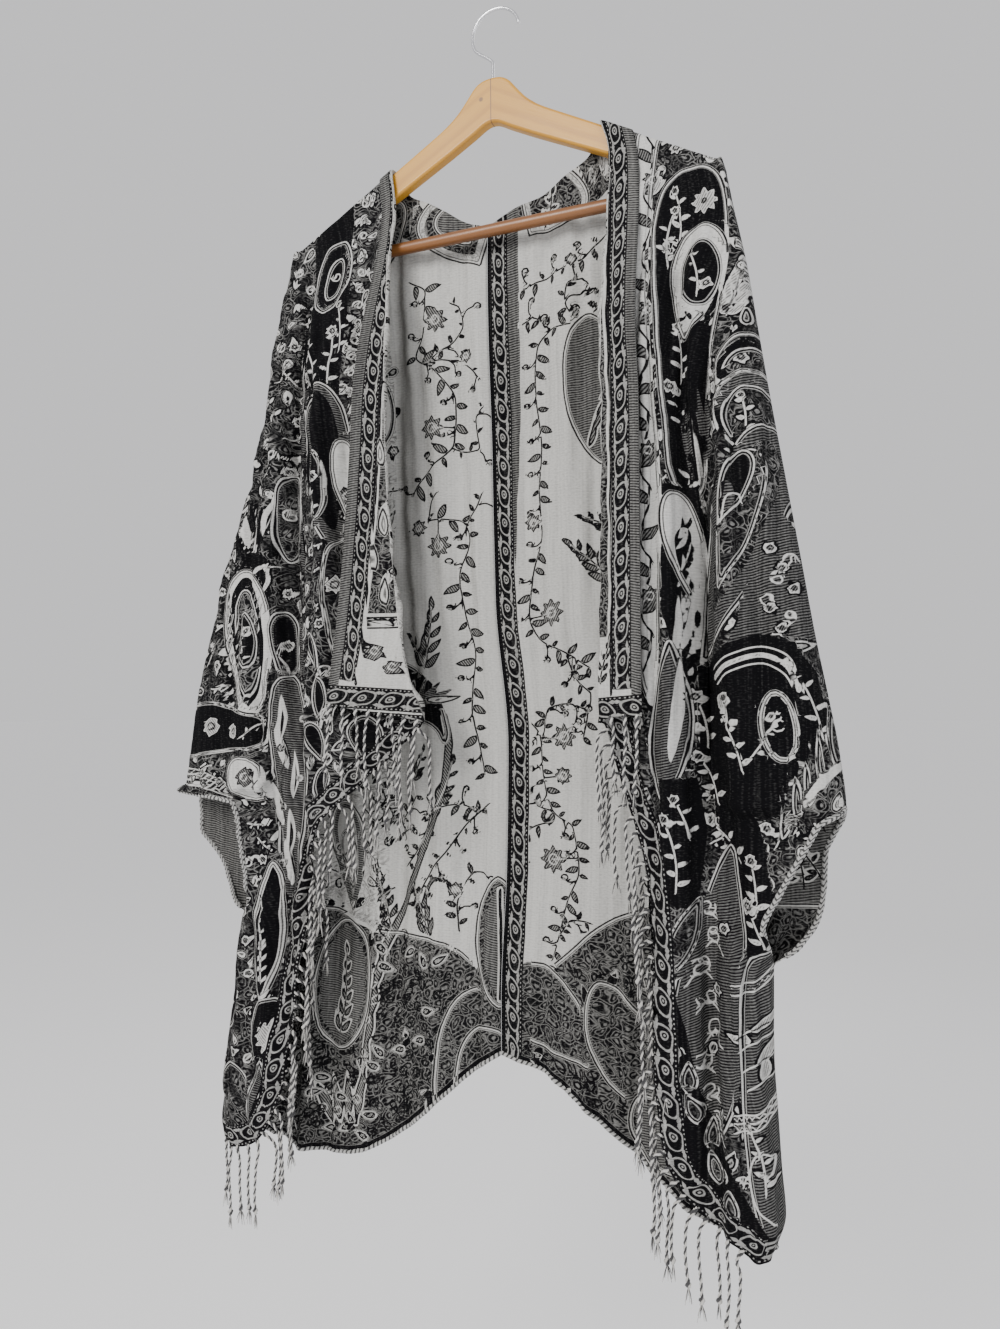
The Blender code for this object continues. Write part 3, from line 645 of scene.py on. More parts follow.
def line_distance(points, line):
    """Distance to a polyline, positive on its left side, negative on its right, and the same without its sign."""
    best = np.full(len(points), 1e9)
    signed = np.full(len(points), 1e9)
    for a, b in zip(line, line[1:]):
        ab = b - a
        long = max(float(np.hypot(*ab)), 1e-9)
        off = points - a
        t = np.clip((off @ ab) / long ** 2, 0, 1)
        away = np.linalg.norm(off - t[:, None] * ab, axis=1)
        side = np.where(ab[0] * off[:, 1] - ab[1] * off[:, 0] < 0, -1.0, 1.0)
        closer = away < best
        best = np.where(closer, away, best)
        signed = np.where(closer, away * side, signed)
    return signed, best


def rounded_corners(outline, times=2):
    for _ in range(times):
        after = np.roll(outline, -1, axis=0)
        outline = np.stack((outline * 0.75 + after * 0.25, outline * 0.25 + after * 0.75), axis=1).reshape(-1,
                                                                                                           2)
    return outline


class Drawing:
    """Distances, in metres and positive inside, that the materials turn into lines and fills."""

    def __init__(self, place, ground):
        self.at = place.reshape(-1, 2)
        n = len(self.at)
        self.ink = np.full(n, -FAR)          # plain motifs
        self.ring = np.full(n, -FAR)         # outlines of the large figures
        self.stem = np.full(n, FAR)          # thin lines, positive on their left
        self.stem_away = np.full(n, FAR)     # the same without its sign
        self.zones = {kind: np.full(n, FAR if kind == ground else -FAR) for kind in FILLS}
        self.border = np.tile((0.0, 0.0, -FAR),
                              (n, 1))   # small-paisley bands: share across, length along, inside

    def near(self, outline, margin=0.012):
        low, high = outline.min(axis=0) - margin, outline.max(axis=0) + margin
        return np.where(((self.at > low) & (self.at < high)).all(axis=1))[0]

    def inside(self, outline, index):
        points = self.at[index]
        closed = np.concatenate((outline, outline[:1]))
        away = to_polyline(points, closed)
        odd = np.zeros(len(points), bool)
        for (x0, z0), (x1, z1) in zip(closed, closed[1:]):
            if z0 == z1:
                continue
            cross = (points[:, 1] >= min(z0, z1)) & (points[:, 1] < max(z0, z1))
            odd ^= cross & (points[:, 0] < x0 + (points[:, 1] - z0) * (x1 - x0) / (z1 - z0))
        return np.where(odd, away, -away)

    def paint(self, index, distance, kind):
        for key, zone in self.zones.items():
            if key == kind:
                zone[index] = np.maximum(zone[index], distance)
            else:
                zone[index] = np.minimum(zone[index], -distance)
        self.ink[index] = np.minimum(self.ink[index], -distance)
        self.stem_away[index] = np.where(distance > -0.001, FAR, self.stem_away[index])

    def area(self, outline, kind, band=None, width=0.0065, ring=True):
        """Fills an outline; band names another fill for a band of the given width inside its edge."""
        outline = np.asarray(outline, float)
        if len(outline) < 16 and ring:
            outline = rounded_corners(outline)
        index = self.near(outline)
        if not len(index):
            return
        distance = self.inside(outline, index)
        self.paint(index, distance, band or kind)
        if band:
            self.paint(index, distance - width, kind)
        if ring:
            self.ring[index] = np.where(distance > -0.0060, distance, self.ring[index])
        else:
            self.ring[index] = np.where(distance > 0.0, FAR, self.ring[index])

    def shape(self, outline):
        outline = np.asarray(outline, float)
        index = self.near(outline, 0.008)
        if len(index):
            self.ink[index] = np.maximum(self.ink[index], self.inside(outline, index))

    def line(self, points, width=THIN, rounded=True):
        """Thin lines keep a signed distance, which stays sharp between the cloth's points; wide ones are filled."""
        points = round_line(points, 5) if rounded and len(points) > 2 else np.asarray(points, float)
        index = self.near(points, 0.008)
        if not len(index):
            return
        signed, away = line_distance(self.at[index], points)
        if width > 0.0028:
            self.ink[index] = np.maximum(self.ink[index], width / 2 - away)
        else:
            closer = away < self.stem_away[index]
            self.stem[index] = np.where(closer, signed, self.stem[index])
            self.stem_away[index] = np.where(closer, away, self.stem_away[index])

    def dot(self, x, z, radius=0.0024):
        self.shape(oval_shape(x, z, radius, radius))

    def flower(self, x, z, radius, petals=9, start=0.0):
        index = self.near(np.array([(x - radius, z - radius), (x + radius, z + radius)]))
        if not len(index):
            return
        p = self.at[index] - (x, z)
        rho, theta = np.linalg.norm(p, axis=1), np.arctan2(p[:, 1], p[:, 0]) + start
        petal = radius * (0.80 + 0.20 * np.cos(petals * theta)) - rho
        self.ink[index] = np.maximum(self.ink[index], petal)
        closer = rho < np.maximum(radius, self.stem_away[index])
        self.stem[index] = np.where(closer, rho - radius * 0.36, self.stem[index])
        self.stem_away[index] = np.where(closer, np.abs(rho - radius * 0.36), self.stem_away[index])

    def sprig(self, x, z, length, angle, leaves=5, size=0.011, bloom=0.0, bend=0.25):
        """A stem with leaves in turn on its two sides and a flower or bud at its end."""
        t = np.linspace(0, 1, 5)
        spine = turned(np.stack((t * length, bend * length * t * t), axis=1), angle) + (x, z)
        self.line(spine)
        fine = round_line(spine, 6)
        for k in range(leaves):
            at = fine[int((k + 0.7) / (leaves + 0.6) * (len(fine) - 1))]
            side = 1 if k % 2 else -1
            reach = size * (1.0 - 0.35 * k / leaves)
            self.shape(leaf_shape(at[0], at[1], reach, reach * 0.42, angle + side * 52 + 14 * bend * k,
                                  0.2 * side))
        if bloom:
            self.flower(fine[-1][0], fine[-1][1], bloom, 7)
        else:
            self.shape(leaf_shape(fine[-1][0], fine[-1][1], size, size * 0.4, angle + 40 * bend))

    def plume(self, x, z, length, angle, pairs=4, size=0.020):
        """A broad cut leaf: long leaflets that fan out from one rib."""
        rib = turned(np.array([(0, 0), (length * 0.5, length * 0.04), (length, length * 0.15)]), angle) + (x, z)
        self.line(rib, 0.0018)
        fine = round_line(rib, 8)
        for k in range(pairs):
            at = fine[int((k + 0.2) / pairs * (len(fine) - 2))]
            reach = size * (1.1 - 0.5 * k / pairs)
            for side in (1, -1):
                self.shape(leaf_shape(at[0], at[1], reach, reach * 0.36, angle + side * (46 - 3 * k),
                                      -0.25 * side))
        self.shape(leaf_shape(fine[-2][0], fine[-2][1], size * 0.8, size * 0.3, angle + 8))

    def vine(self, points, blooms=(), step=0.020, size=0.017, way=1):
        """A winding stem with leaves, tendrils that end in dots, and flowers where the table puts them."""
        fine = round_line(points, 10)
        self.line(fine, rounded=False)
        lengths = run_of(fine)
        k = 0
        at = 0.006
        while at < lengths[-1]:
            x, z = (float(np.interp(at, lengths, fine[:, c])) for c in (0, 1))
            x2, z2 = (float(np.interp(at + 0.002, lengths, fine[:, c])) for c in (0, 1))
            heading = math.degrees(math.atan2(z2 - z, x2 - x))
            side = way if k % 2 else -way
            clear = all(math.hypot(x - fx, z - fz) > fr + 0.006 for fx, fz, fr in blooms)
            if clear:
                if k % 4 == 2:
                    foot = turned(np.array([(0, 0), (0.008, 0.003 * side), (0.013, 0.011 * side)]), heading
                                  + side * 30) + (x, z)
                    self.line(foot, 0.0012)
                    curl = curl_line(foot[-1][0] - 0.0045 * side, foot[-1][1], 0.0045, 0 if side > 0 else 180,
                                     0.9, side)
                    self.line(curl, 0.0012)
                    self.dot(curl[-1][0], curl[-1][1], 0.0019)
                else:
                    reach = size * (1.0 + 0.25 * math.sin(2.3 * k))
                    self.shape(leaf_shape(x, z, reach, reach * 0.44, heading + side * (48 + 10 * math.sin(k)),
                                          0.25 * side))
            k += 1
            at += step * (0.5 + 0.12 * math.sin(1.7 * k))
        for fx, fz, fr in blooms:
            self.flower(fx, fz, fr, 8)
            near = fine[np.argmin(np.linalg.norm(fine - (fx, fz), axis=1))]
            self.line([near, (fx, fz)], 0.0013, rounded=False)


# A row of a figure table names its figure and then its numbers, in millimetres up to the count given here, and after
# that as angles, shares or counts. An area is a list of x and z. Fills come last: the fill, then the fill and the width
# of a band inside the edge, "bare" for no outline, or "ink" for a plain motif.
OUTLINES = {"drop": drop_shape, "oval": oval_shape, "leaf": leaf_shape}
UNITS = {"drop": "mmmm", "oval": "mmmm", "leaf": "mmmm", "curl": "mmm", "dot": "mmm", "flower": "mmm",
         "sprig": "mmm-nmm-", "plume": "mmm-nm"}
ROWS = ("area", "line", "vine", "repeat", "end", *UNITS)


def number(word, turn):
    """The sum in a word such as 262+9t-17k: k counts the turns, and e, t and q are k's rest after 2, 3 and 4."""
    steps = {"k": turn, "e": turn % 2, "t": turn % 3, "q": turn % 4, "": 1}
    return sum(float(sign + (size or "1")) * steps[letter]
               for sign, size, letter in re.findall(r"([+-]?)([\d.]*)([ketq]?)", word) if size or letter)


def in_metres(values, units=""):
    """Values with a unit of m are millimetres, n is a whole number, and the rest stand as they are."""
    units = units.ljust(len(values), "-") if units else "m" * len(values)
    return [v / 1000 if u == "m" else round(v) if u == "n" else v for v, u in zip(values, units)]


def figure(d, words, turn):
    groups = [[words[0]]]
    for word in words[1:]:
        if len(word) > 1 and word.isalpha():
            groups.append([word])
        else:
            groups[-1].append(number(word, turn))
    (kind, *values), marks = groups[0], groups[1:]
    values = in_metres(values, UNITS.get(kind, ""))
    pairs = list(zip(values[::2], values[1::2]))
    if kind in OUTLINES or kind == "area":
        outline = OUTLINES[kind](*values) if kind in OUTLINES else pairs
        if marks[0][0] == "ink":
            d.shape(outline)
            return
        ring = marks[-1][0] != "bare"
        (fill, *_), *bands = marks if ring else marks[:-1]
        band, *width = bands[0] if bands else (None,)
        d.area(outline, fill, band, *in_metres(width), ring=ring)
    elif kind in ("line", "curl"):
        d.line(curl_line(*values) if kind == "curl" else pairs, *(in_metres(marks[0][1:]) if marks else ()))
    elif kind == "vine":
        given = {name: rest for name, *rest in marks}
        blooms = in_metres(given.get("with", ()))
        d.vine(pairs, list(zip(blooms[::3], blooms[1::3], blooms[2::3])),
               *in_metres(given.get("leaves", ()), "mm-"))
    else:
        getattr(d, kind)(*values)


def figures(d, table):
    """Draws the rows of a table; those between repeat and end are drawn together as many times as it says."""
    rows = []
    for word in table.split():
        if word in ROWS:
            rows.append([])
        rows[-1].append(word)
    held, turns = [], 1
    for words in rows:
        if words[0] == "repeat":
            held, turns = [], int(words[1])
        elif words[0] == "end":
            for turn in range(turns):
                for row in held:
                    figure(d, row, turn)
            turns = 1
        elif turns > 1:
            held.append(words)
        else:
            figure(d, words, 0)


def hashed(*numbers):
    """An even, repeatable number from 0 to 1 out of a few others."""
    return math.sin(sum(n * f for n, f in zip(numbers, (12.9898, 78.233, 37.719)))) * 43758.5453 % 1.0


def scatter(d, low, high, pitch, seed, size=1.0):
    """Small paisleys, leaves, rosettes and curls of the fill, set unevenly over a rectangle."""
    across = int((high[0] - low[0]) / pitch) + 1
    down = int((high[1] - low[1]) / pitch) + 1
    for i in range(across):
        for j in range(down):
            x = low[0] + pitch * (i + 0.5 * (j % 2) + 0.45 * (hashed(i, j, seed) - 0.5))
            z = low[1] + pitch * (j + 0.45 * (hashed(j, i, seed + 3) - 0.5))
            kind = int(hashed(i + 0.3, j, seed + 7) * 6)
            turn = 360 * hashed(i, j + 0.7, seed + 1)
            scale = pitch * size
            if kind == 0:
                d.area(drop_shape(x, z, scale * 0.30, scale * 0.52, turn, 0.25), "none", None)
                d.shape(drop_shape(x, z, scale * 0.11, scale * 0.24, turn, 0.25))
            elif kind == 1:
                d.flower(x, z, scale * 0.34, 7, turn)
                d.shape(leaf_shape(x, z, scale * 0.7, scale * 0.24, turn, 0.3))
            elif kind == 2:
                d.sprig(x, z, scale * 0.8, turn, 4, scale * 0.36)
            elif kind == 3:
                d.area(drop_shape(x, z, scale * 0.28, scale * 0.46, turn, -0.2), "flip", None)
                d.shape(leaf_shape(x, z - scale * 0.2, scale * 0.4, scale * 0.16, 80))
            elif kind == 4:
                d.line(curl_line(x, z, scale * 0.34, turn, 1.2))
                d.shape(leaf_shape(x + scale * 0.3, z, scale * 0.5, scale * 0.2, turn))
            else:
                for lean in (-38, 0, 38):
                    d.shape(leaf_shape(x, z, scale * 0.6, scale * 0.20, turn + lean, 0.2))


def band_along(drawing, line, low, high):
    """Marks the small-paisley band between two distances from a line: share across, length along, and where."""
    line = np.asarray(line, float)
    lengths = run_of(line)
    index = drawing.near(line, high + 0.012)
    points = drawing.at[index]
    best = np.full(len(index), 1e9)
    run = np.zeros(len(index))
    for k, (a, b) in enumerate(zip(line, line[1:])):
        ab = b - a
        t = np.clip(((points - a) @ ab) / max(float(ab @ ab), 1e-12), 0, 1)
        away = np.linalg.norm(points - a - t[:, None] * ab, axis=1)
        closer = away < best
        best = np.where(closer, away, best)
        run = np.where(closer, lengths[k] + t * np.linalg.norm(ab), run)
    on = np.minimum(best - low, high - best)
    share = (best - low) / (high - low)
    put = on > -0.0055
    where = index[put]
    drawing.border[where, 0] = share[put]
    drawing.border[where, 1] = run[put]
    drawing.border[where, 2] = on[put]
    drawing.ink[where] = np.minimum(drawing.ink[where], -on[put] - 0.001)
    drawing.ring[where] = np.where(on[put] > -0.0005, FAR, drawing.ring[where])
    drawing.stem_away[where] = np.where(on[put] > -0.001, FAR, drawing.stem_away[where])


def front_right_drawing(d):
    scatter(d, (0.13, -1.17), (0.34, -0.15), 0.021, 5.0, 0.92)
    # The pale column of leaves and flowers beside the lapel.
    figures(d, """
        area 140 -140 176 -145 163 -205 160 -270 161 -330 168 -420 175 -500 172 -620 164 -720 140 -600 flip""")
    for k in range(16):
        z, way = -0.165 - 0.032 * k, 1 if k % 2 else -1
        d.shape(leaf_shape(0.158 + 0.003 * way, z, 0.024, 0.011, 84 + 34 * way, 0.3 * way))
        d.line([(0.160 - 0.004 * way, z - 0.018), (0.158 + 0.003 * way, z), (0.160 + 0.002 * way, z + 0.016)])
        if k % 4 == 1:
            d.flower(0.162, z - 0.016, 0.0095, 8)
    # The great paisley at the shoulder: black head with flowers, a white crescent and a black heart.
    figures(d, """
        area 167 -370 164 -300 162 -255 170 -222 190 -207 213 -208 228 -228 231 -274 227 -330 216 -370 210 -430
            206 -515 180 -515 173 -430 none flip 3.5
        flower 209 -243 12.5 8
        flower 209 -243 6 6
        sprig 186 -275 46 78 6 12 5 .3
        sprig 176 -300 52 100 5 11 5 -.3
        curl 178 -282 8 20 1.1
        drop 202 -317.5 28.5 54 -8 -.08 .9 flip
        oval 205.5 -311 18.5 31 -4 none
        sprig 203 -332 42 84 5 10 4
        flower 211 -322 6.5 4 .4
        repeat 4
            leaf 193+6k -352-2k 12 4.2 150-42k .3 ink
        end""")
    # Black column with sprigs below it.
    figures(d, """
        sprig 186 -405 50 86 6 12 6 .1
        sprig 189 -455 44 98 5 11 7 .1
        sprig 190 -505 46 80 5 12 6 -.1
        repeat 5
            leaf 196+3.5k -500+4k 80 5.2 97-2k .05 hatch bare
        end
        leaf 203 -520 105 3.4 92 .03 ink""")
    # White streaked plume on black.
    figures(d, """
        area 174 -500 200 -500 208 -560 205 -640 186 -665 174 -610 none bare
        drop 191 -570 17.5 66 8 .15 flip
        drop 186 -556 6.5 20 -10 .2 none bare
        repeat 11
            leaf 182+2.2q -625+8.5k 22 3.4 42+16e .5 ink
        end
        repeat 5
            leaf 181+4k -652+4e 60 5.2 80-6k .12 flip bare
        end
        leaf 170 -780 150 34 82 .08 hatch
        leaf 178 -745 100 9 82 .06 flip bare""")
    # Sleeve: feather scallops, dark arches, a dotted dome.
    figures(d, """
        plume 228 -352 58 66 5 20
        plume 236 -330 46 60 4 18
        oval 250 -400 34 30 20 none flip 3.5
        oval 249 -405 25 21 20 busy none 3
        flower 240 -393 7 5
        oval 248 -440 31 37 10 hatch flip 2.8
        oval 248 -446 23 28 10 busy none 3
        sprig 244 -462 34 82 4 12 5""")
    # The hooked paisley with its wide hatched rim.
    figures(d, """
        drop 238 -558 38 108 -14 -.14 busy hatch 13
        drop 236 -535 21.5 62 -12 -.05 busy flip 1.6
        drop 235 -508 15 34 -14 -.2 none
        leaf 226 -528 28 9 58 .5 hatch bare
        line 224 -535 229 -515 237 -512 239 -520 wide 1.6
        area 268 -530 300 -560 305 -640 262 -632 226 -645 244 -590 hatch bare
        repeat 5
            flower 262+9t -560-17k 5.8 6
            curl 276-8t -570-16k 6.5 90k 1.1
        end""")
    # Double arches above the black field with the open ring.
    figures(d, """
        area 206 -655 226 -640 252 -632 278 -640 296 -665 306 -715 286 -765 252 -790 232 -760 216 -705 none bare
        line 204 -668 228 -650 254 -643 276 -652 286 -680
        line 207 -675 228 -657 254 -650 274 -659 283 -680 wide 4.2
        line 210 -682 228 -664 254 -657 272 -666 280 -680
        oval 267 -710 16 31 8 none flip 4.6
        curl 267 -708 8.5 90 1.3 wide 1.6
        sprig 238 -748 58 100 7 13 8 .2
        sprig 246 -735 36 52 4 10 5
        sprig 226 -712 26 84 3 10 6""")
    # Leaf columns towards the cuff.
    figures(d, """
        repeat 5
            leaf 268+11k -806+14k 60 12 76+4k .1 busy flip 1.4
        end
        sprig 300 -720 60 96 6 12
        repeat 5
            leaf 284+5k -775+6k 36 5.5 50-3k .1 flip bare
        end""")
    # Black diagonal with flowers.
    figures(d, """
        area 196 -655 212 -665 224 -735 250 -795 268 -905 240 -905 216 -805 198 -730 none bare
        sprig 204 -728 44 92 5 13 8 .2
        sprig 213 -778 44 100 5 13 6.5 .2
        sprig 232 -826 44 118 5 13 8 .2
        sprig 246 -868 44 84 5 13 6.5 .2
        sprig 252 -905 44 96 5 13 8 .2""")
    # Dark column with sprigs, then the scroll leaf and the twilled edge.
    figures(d, """
        area 168 -755 196 -755 204 -800 196 -865 172 -860 none bare
        sprig 182 -850 60 84 7 12 6
        sprig 192 -805 34 96 4 10 5
        leaf 200 -1085 285 66 88 -.05 hatch""")
    for k in range(8):
        x, z, way = 0.203 + 0.007 * math.sin(2.1 * k), -0.865 - 0.026 * k, 1 if k % 2 else -1
        d.line(curl_line(x, z, 0.0085, 60 * k, 1.2, way))
        d.line([(x - 0.008 * way, z - 0.010), (x - 0.002, z - 0.004), (x + 0.009 * way, z - 0.012)])
        if k % 2:
            d.flower(x + 0.009, z + 0.008, 0.0055, 6)
    figures(d, """
        leaf 178 -920 70 20 78 -.1 busy flip 1.5
        area 232 -905 256 -898 300 -905 300 -1160 252 -1150 236 -1085 232 -1010 hatch
        line 228 -924 243 -922 258 -910 272 -894
        line 228 -932 243 -930 258 -918 272 -902
        line 228 -1032 243 -1030 258 -1018 272 -1002
        line 228 -1038.5 243 -1036.5 258 -1024.5 272 -1008.5
        line 228 -1045 243 -1043 258 -1031 272 -1015""")
    for x, z, length, turn in ((0.240, -0.962, 0.026, 18), (0.244, -0.990, 0.024, 40),
                               (0.242, -0.972, 0.022, 150), (0.248, -1.005, 0.020, 70)):
        d.shape(leaf_shape(x, z, length, 0.008, turn, 0.3))
        d.line([(x - 0.010, z - 0.006), (x, z), (x + 0.012, z + 0.004)])
    figures(d, """
        line 256 -1120 243 -1104 238 -1080 246 -1062 256 -1068 254 -1080 247 -1080 wide 1.8
        sprig 250 -1095 50 88 5 11""")
    # Black foot with grey leaves above the border.
    figures(d, """
        area 165 -925 180 -935 200 -1035 228 -1088 272 -1165 200 -1170 172 -1050 none bare
        repeat 7
            leaf 171+8.5k -972-25k 30 14 84+22e .1 busy flip 1.2
            curl 180+9k -985-25k 5 80k 1
        end""")


def front_left_drawing(d):
    scatter(d, (-0.36, -1.15), (-0.10, -0.15), 0.020, 2.0, 0.92)
    # Black field with the small dotted ring paisley, beside the lapel.
    figures(d, """
        area -200 -200 -176 -172 -154 -162 -153 -300 -158 -385 -186 -400 -198 -330 none bare
        oval -175 -245 21 40 -14 none busy 5.5
        oval -173 -248 10.5 24 -14 none busy 3
        curl -172 -244 6 200 1 wide 1.6
        sprig -168 -385 78 86 8 12 7 .08
        sprig -184 -365 60 96 6 10 6
        sprig -160 -330 50 80 5 10 5
        repeat 17
            curl -140-.6k -170-18.5k 5.5 90k 1.1 -1+2e wide 1.6
            leaf -134-.6k -176-18.5k 10 4.8 60+60e .3 ink
        end""")
    # The hatched arch with its black inside, then the white drop with the dark flower.
    figures(d, """
        drop -172 -452 31 88 4 .1 .8 none hatch 9.5
        oval -176 -470 11.5 36 4 none flip 2.2
        flower -176 -462 6.5 6
        sprig -176 -498 30 92 4 9
        dot -182 -423 3.8
        drop -147.5 -478 16.5 56 6 .12 flip
        flower -149 -480 10 7
        sprig -150 -512 18 84 3 9
        oval -145 -506 5 5.5 0 none
        drop -158 -588 18 66 -6 .1 busy flip 2.2
        flower -158 -570 10 8
        repeat 7
            drop -182+4e -640-45k 11.5 24 14-26e .25 none busy 2.6
            curl -166-3e -655-45k 7.5 90k 1.2 -1+2e
        end""")
    # Outer side: long grey streaks.
    for k in range(16):
        d.area(leaf_shape(-0.212 + 0.0045 * (k % 4), -0.365 - 0.038 * k, 0.075, 0.0058, 88 + 3 * (k % 3), 0.03),
               "hatch" if k % 3 else "none", "flip" if k % 3 == 1 else None, 0.0012, ring=False)
    # Sleeve: streaked leaves, a grey oval, the white hook.
    for k in range(8):
        d.area(leaf_shape(-0.276 + 0.0058 * k, -0.540 + 0.012 * (k % 3), 0.048, 0.0070, 112 - 5 * k, -0.2),
               "flip" if k % 2 else "none", ring=False)
        d.shape(leaf_shape(-0.272 + 0.0058 * k, -0.532 + 0.012 * (k % 3), 0.030, 0.0026, 112 - 5 * k, -0.2))
    figures(d, """
        oval -226 -495 13.5 46 -4 busy hatch 5
        curl -226 -492 6.5 90 1.1 wide 1.6
        area -296 -565 -270 -528 -246 -535 -240 -575 -262 -600 none bare
        line -262 -570 -256 -550 -246 -546 -242 -560 -250 -572 wide 4""")
    # The large medallion on the sleeve, off-white outline, leaves inside.
    figures(d, """
        drop -270 -628 33 82 4 0 .7 none flip 8.5
        drop -270 -626 19 58 4 0 .6 busy none 3
        oval -270 -622 10.5 30 4 .1 none
        flower -270 -612 7 7
        sprig -271 -645 24 88 4 8
        repeat 9
            leaf -296+4.2e -580-12k 13 4.5 70+40e .3 ink
        end
        drop -231 -640 14.5 48 4 0 none hatch 5
        flower -231 -628 6.5 8
        sprig -231 -662 22 90 3 8""")
    # Dark twilled band towards the cuff, with flowers, and white lines beside the cuff.
    figures(d, """
        area -380 -700 -322 -682 -276 -696 -250 -700 -246 -736 -300 -738 -380 -752 none flip 2.6
        flower -318 -712 11.5 7
        flower -288 -717 8.5 8
        sprig -278 -724 26 20 3 9
        area -296 -742 -250 -745 -248 -792 -290 -788 flip
        flower -270 -764 12 8
        sprig -262 -785 20 70 3 9
        repeat 4
            line -380 -756-6k -330 -760-6k -292 -776-6k wide 2
        end""")
    # Hatched column with long white leaves.
    figures(d, """
        area -250 -665 -214 -655 -208 -820 -214 -892 -234 -888 -246 -790 hatch
        repeat 6
            leaf -238+6t -728-30k 52 9.5 80+16e .12 flip bare
            leaf -236+6t -722-30k 34 2.8 83+13e .1 ink
            curl -218-18e -705-30k 5 80k 1
        end""")
    # The pointed white oval with its dark leaf, the daisy and the lobed leaf.
    figures(d, """
        oval -246 -922 16.5 72 -2 .25 none flip 4.8
        plume -246 -972 84 88 8 9.2
        oval -238 -1028 26.5 40 6 none busy 3
        flower -237 -1027 19 12
        flower -237 -1027 8.5 9
        oval -284 -1098 24 38 10 busy hatch 5
        leaf -264 -1128 80 26 68 .2 hatch flip 1.6
        plume -260 -1122 62 68 6 10
        oval -300 -980 15 48 6 .2 none hatch 4
        sprig -300 -1010 56 88 6 10
        repeat 7
            leaf -212+4e -930-28k 44 9 90-18e .1 none flip 1.2
        end
        drop -120 -735 22 36 20 .1 none hatch 5
        flower -160 -860 11 8""")


def hem_figures(d, low, high):
    """Curls, leaves and small drops in the dark ground along the back's lower edge."""
    count = int((high - low) / 0.017)
    for i in range(count):
        for j in range(14):
            x = low + 0.017 * (i + 0.5 * (j % 2)) + 0.006 * (hashed(i, j, 9) - 0.5)
            z = -0.915 - 0.017 * j + 0.006 * (hashed(j, i, 4) - 0.5)
            if z > -0.93 - 0.62 * max(0.0, 0.095 - abs(x + 0.012)):
                continue
            turn = 360 * hashed(i, j, 2)
            kind = int(4 * hashed(i, j + 0.4, 6))
            if kind == 0:
                d.area(drop_shape(x, z, 0.0055, 0.0095, turn, 0.2), "flip")
            elif kind == 1:
                leaf = leaf_shape(x, z, 0.017, 0.0070, turn, 0.3)
                d.line(np.concatenate((leaf, leaf[:1])), rounded=False)
            else:
                d.line(curl_line(x, z, 0.0065, turn, 1.15, 1 if kind == 2 else -1))


def outer_back(d, sign):
    """The outer half of a back panel, which shows from behind: large paisleys in the same fill as the fronts'."""

    def at(points):
        return [(sign * x, z) for x, z in points]

    d.area(at([(0.135, -0.10), (0.132, -0.45), (0.138, -0.88), (0.150, -0.96), (0.42, -0.96), (0.42, -0.10)]),
           "busy", ring=False)
    low, high = sorted((0.142 * sign, 0.40 * sign))
    scatter(d, (low, -0.90), (high, -0.17), 0.021, 6.0 + sign, 0.92)
    # Great paisleys: x, z, half width, half height, turn.
    for x, z, wide, tall, turn in ((0.186, -0.285, 0.033, 0.080, 12), (0.196, -0.470, 0.036, 0.088, -16),
                                   (0.262, -0.600, 0.036, 0.100, 10), (0.188, -0.680, 0.032, 0.080, 14),
                                   (0.180, -0.850, 0.026, 0.060, -12)):
        d.area(drop_shape(sign * x, z, wide, tall, sign * turn, 0.15 * sign), "none", "hatch", 0.0085)
        d.area(drop_shape(sign * x, z - 0.10 * tall, wide * 0.52, tall * 0.58, sign * turn, 0.15 * sign),
               "none", "flip", 0.0022)
        d.flower(sign * x, z + 0.35 * tall, wide * 0.24, 8)
        d.sprig(sign * x, z - 0.45 * tall, tall * 0.62, 90 + sign * turn, 6, wide * 0.36, 0.005)
    for x, z in ((0.243, -0.400), (0.232, -0.745), (0.300, -0.730), (0.145, -0.575), (0.146, -0.385)):
        d.area(oval_shape(sign * x, z, 0.0125, 0.040, 6 * sign, 0.2), "none", "flip", 0.0030)
        d.plume(sign * x, z - 0.026, 0.048, 90, 5, 0.0085)
    cuff = at([(0.245, -0.700), (0.300, -0.690), (0.345, -0.700), (0.42, -0.72), (0.42, -0.95), (0.246, -0.95)])
    d.area(cuff, "hatch", "flip", 0.0026)
    for k in range(6):
        d.sprig(sign * (0.262 + 0.018 * (k % 3)), -0.800 - 0.050 * (k // 3), 0.040, 90 + 20 * (k % 3 - 1), 4,
                0.012, 0.006)


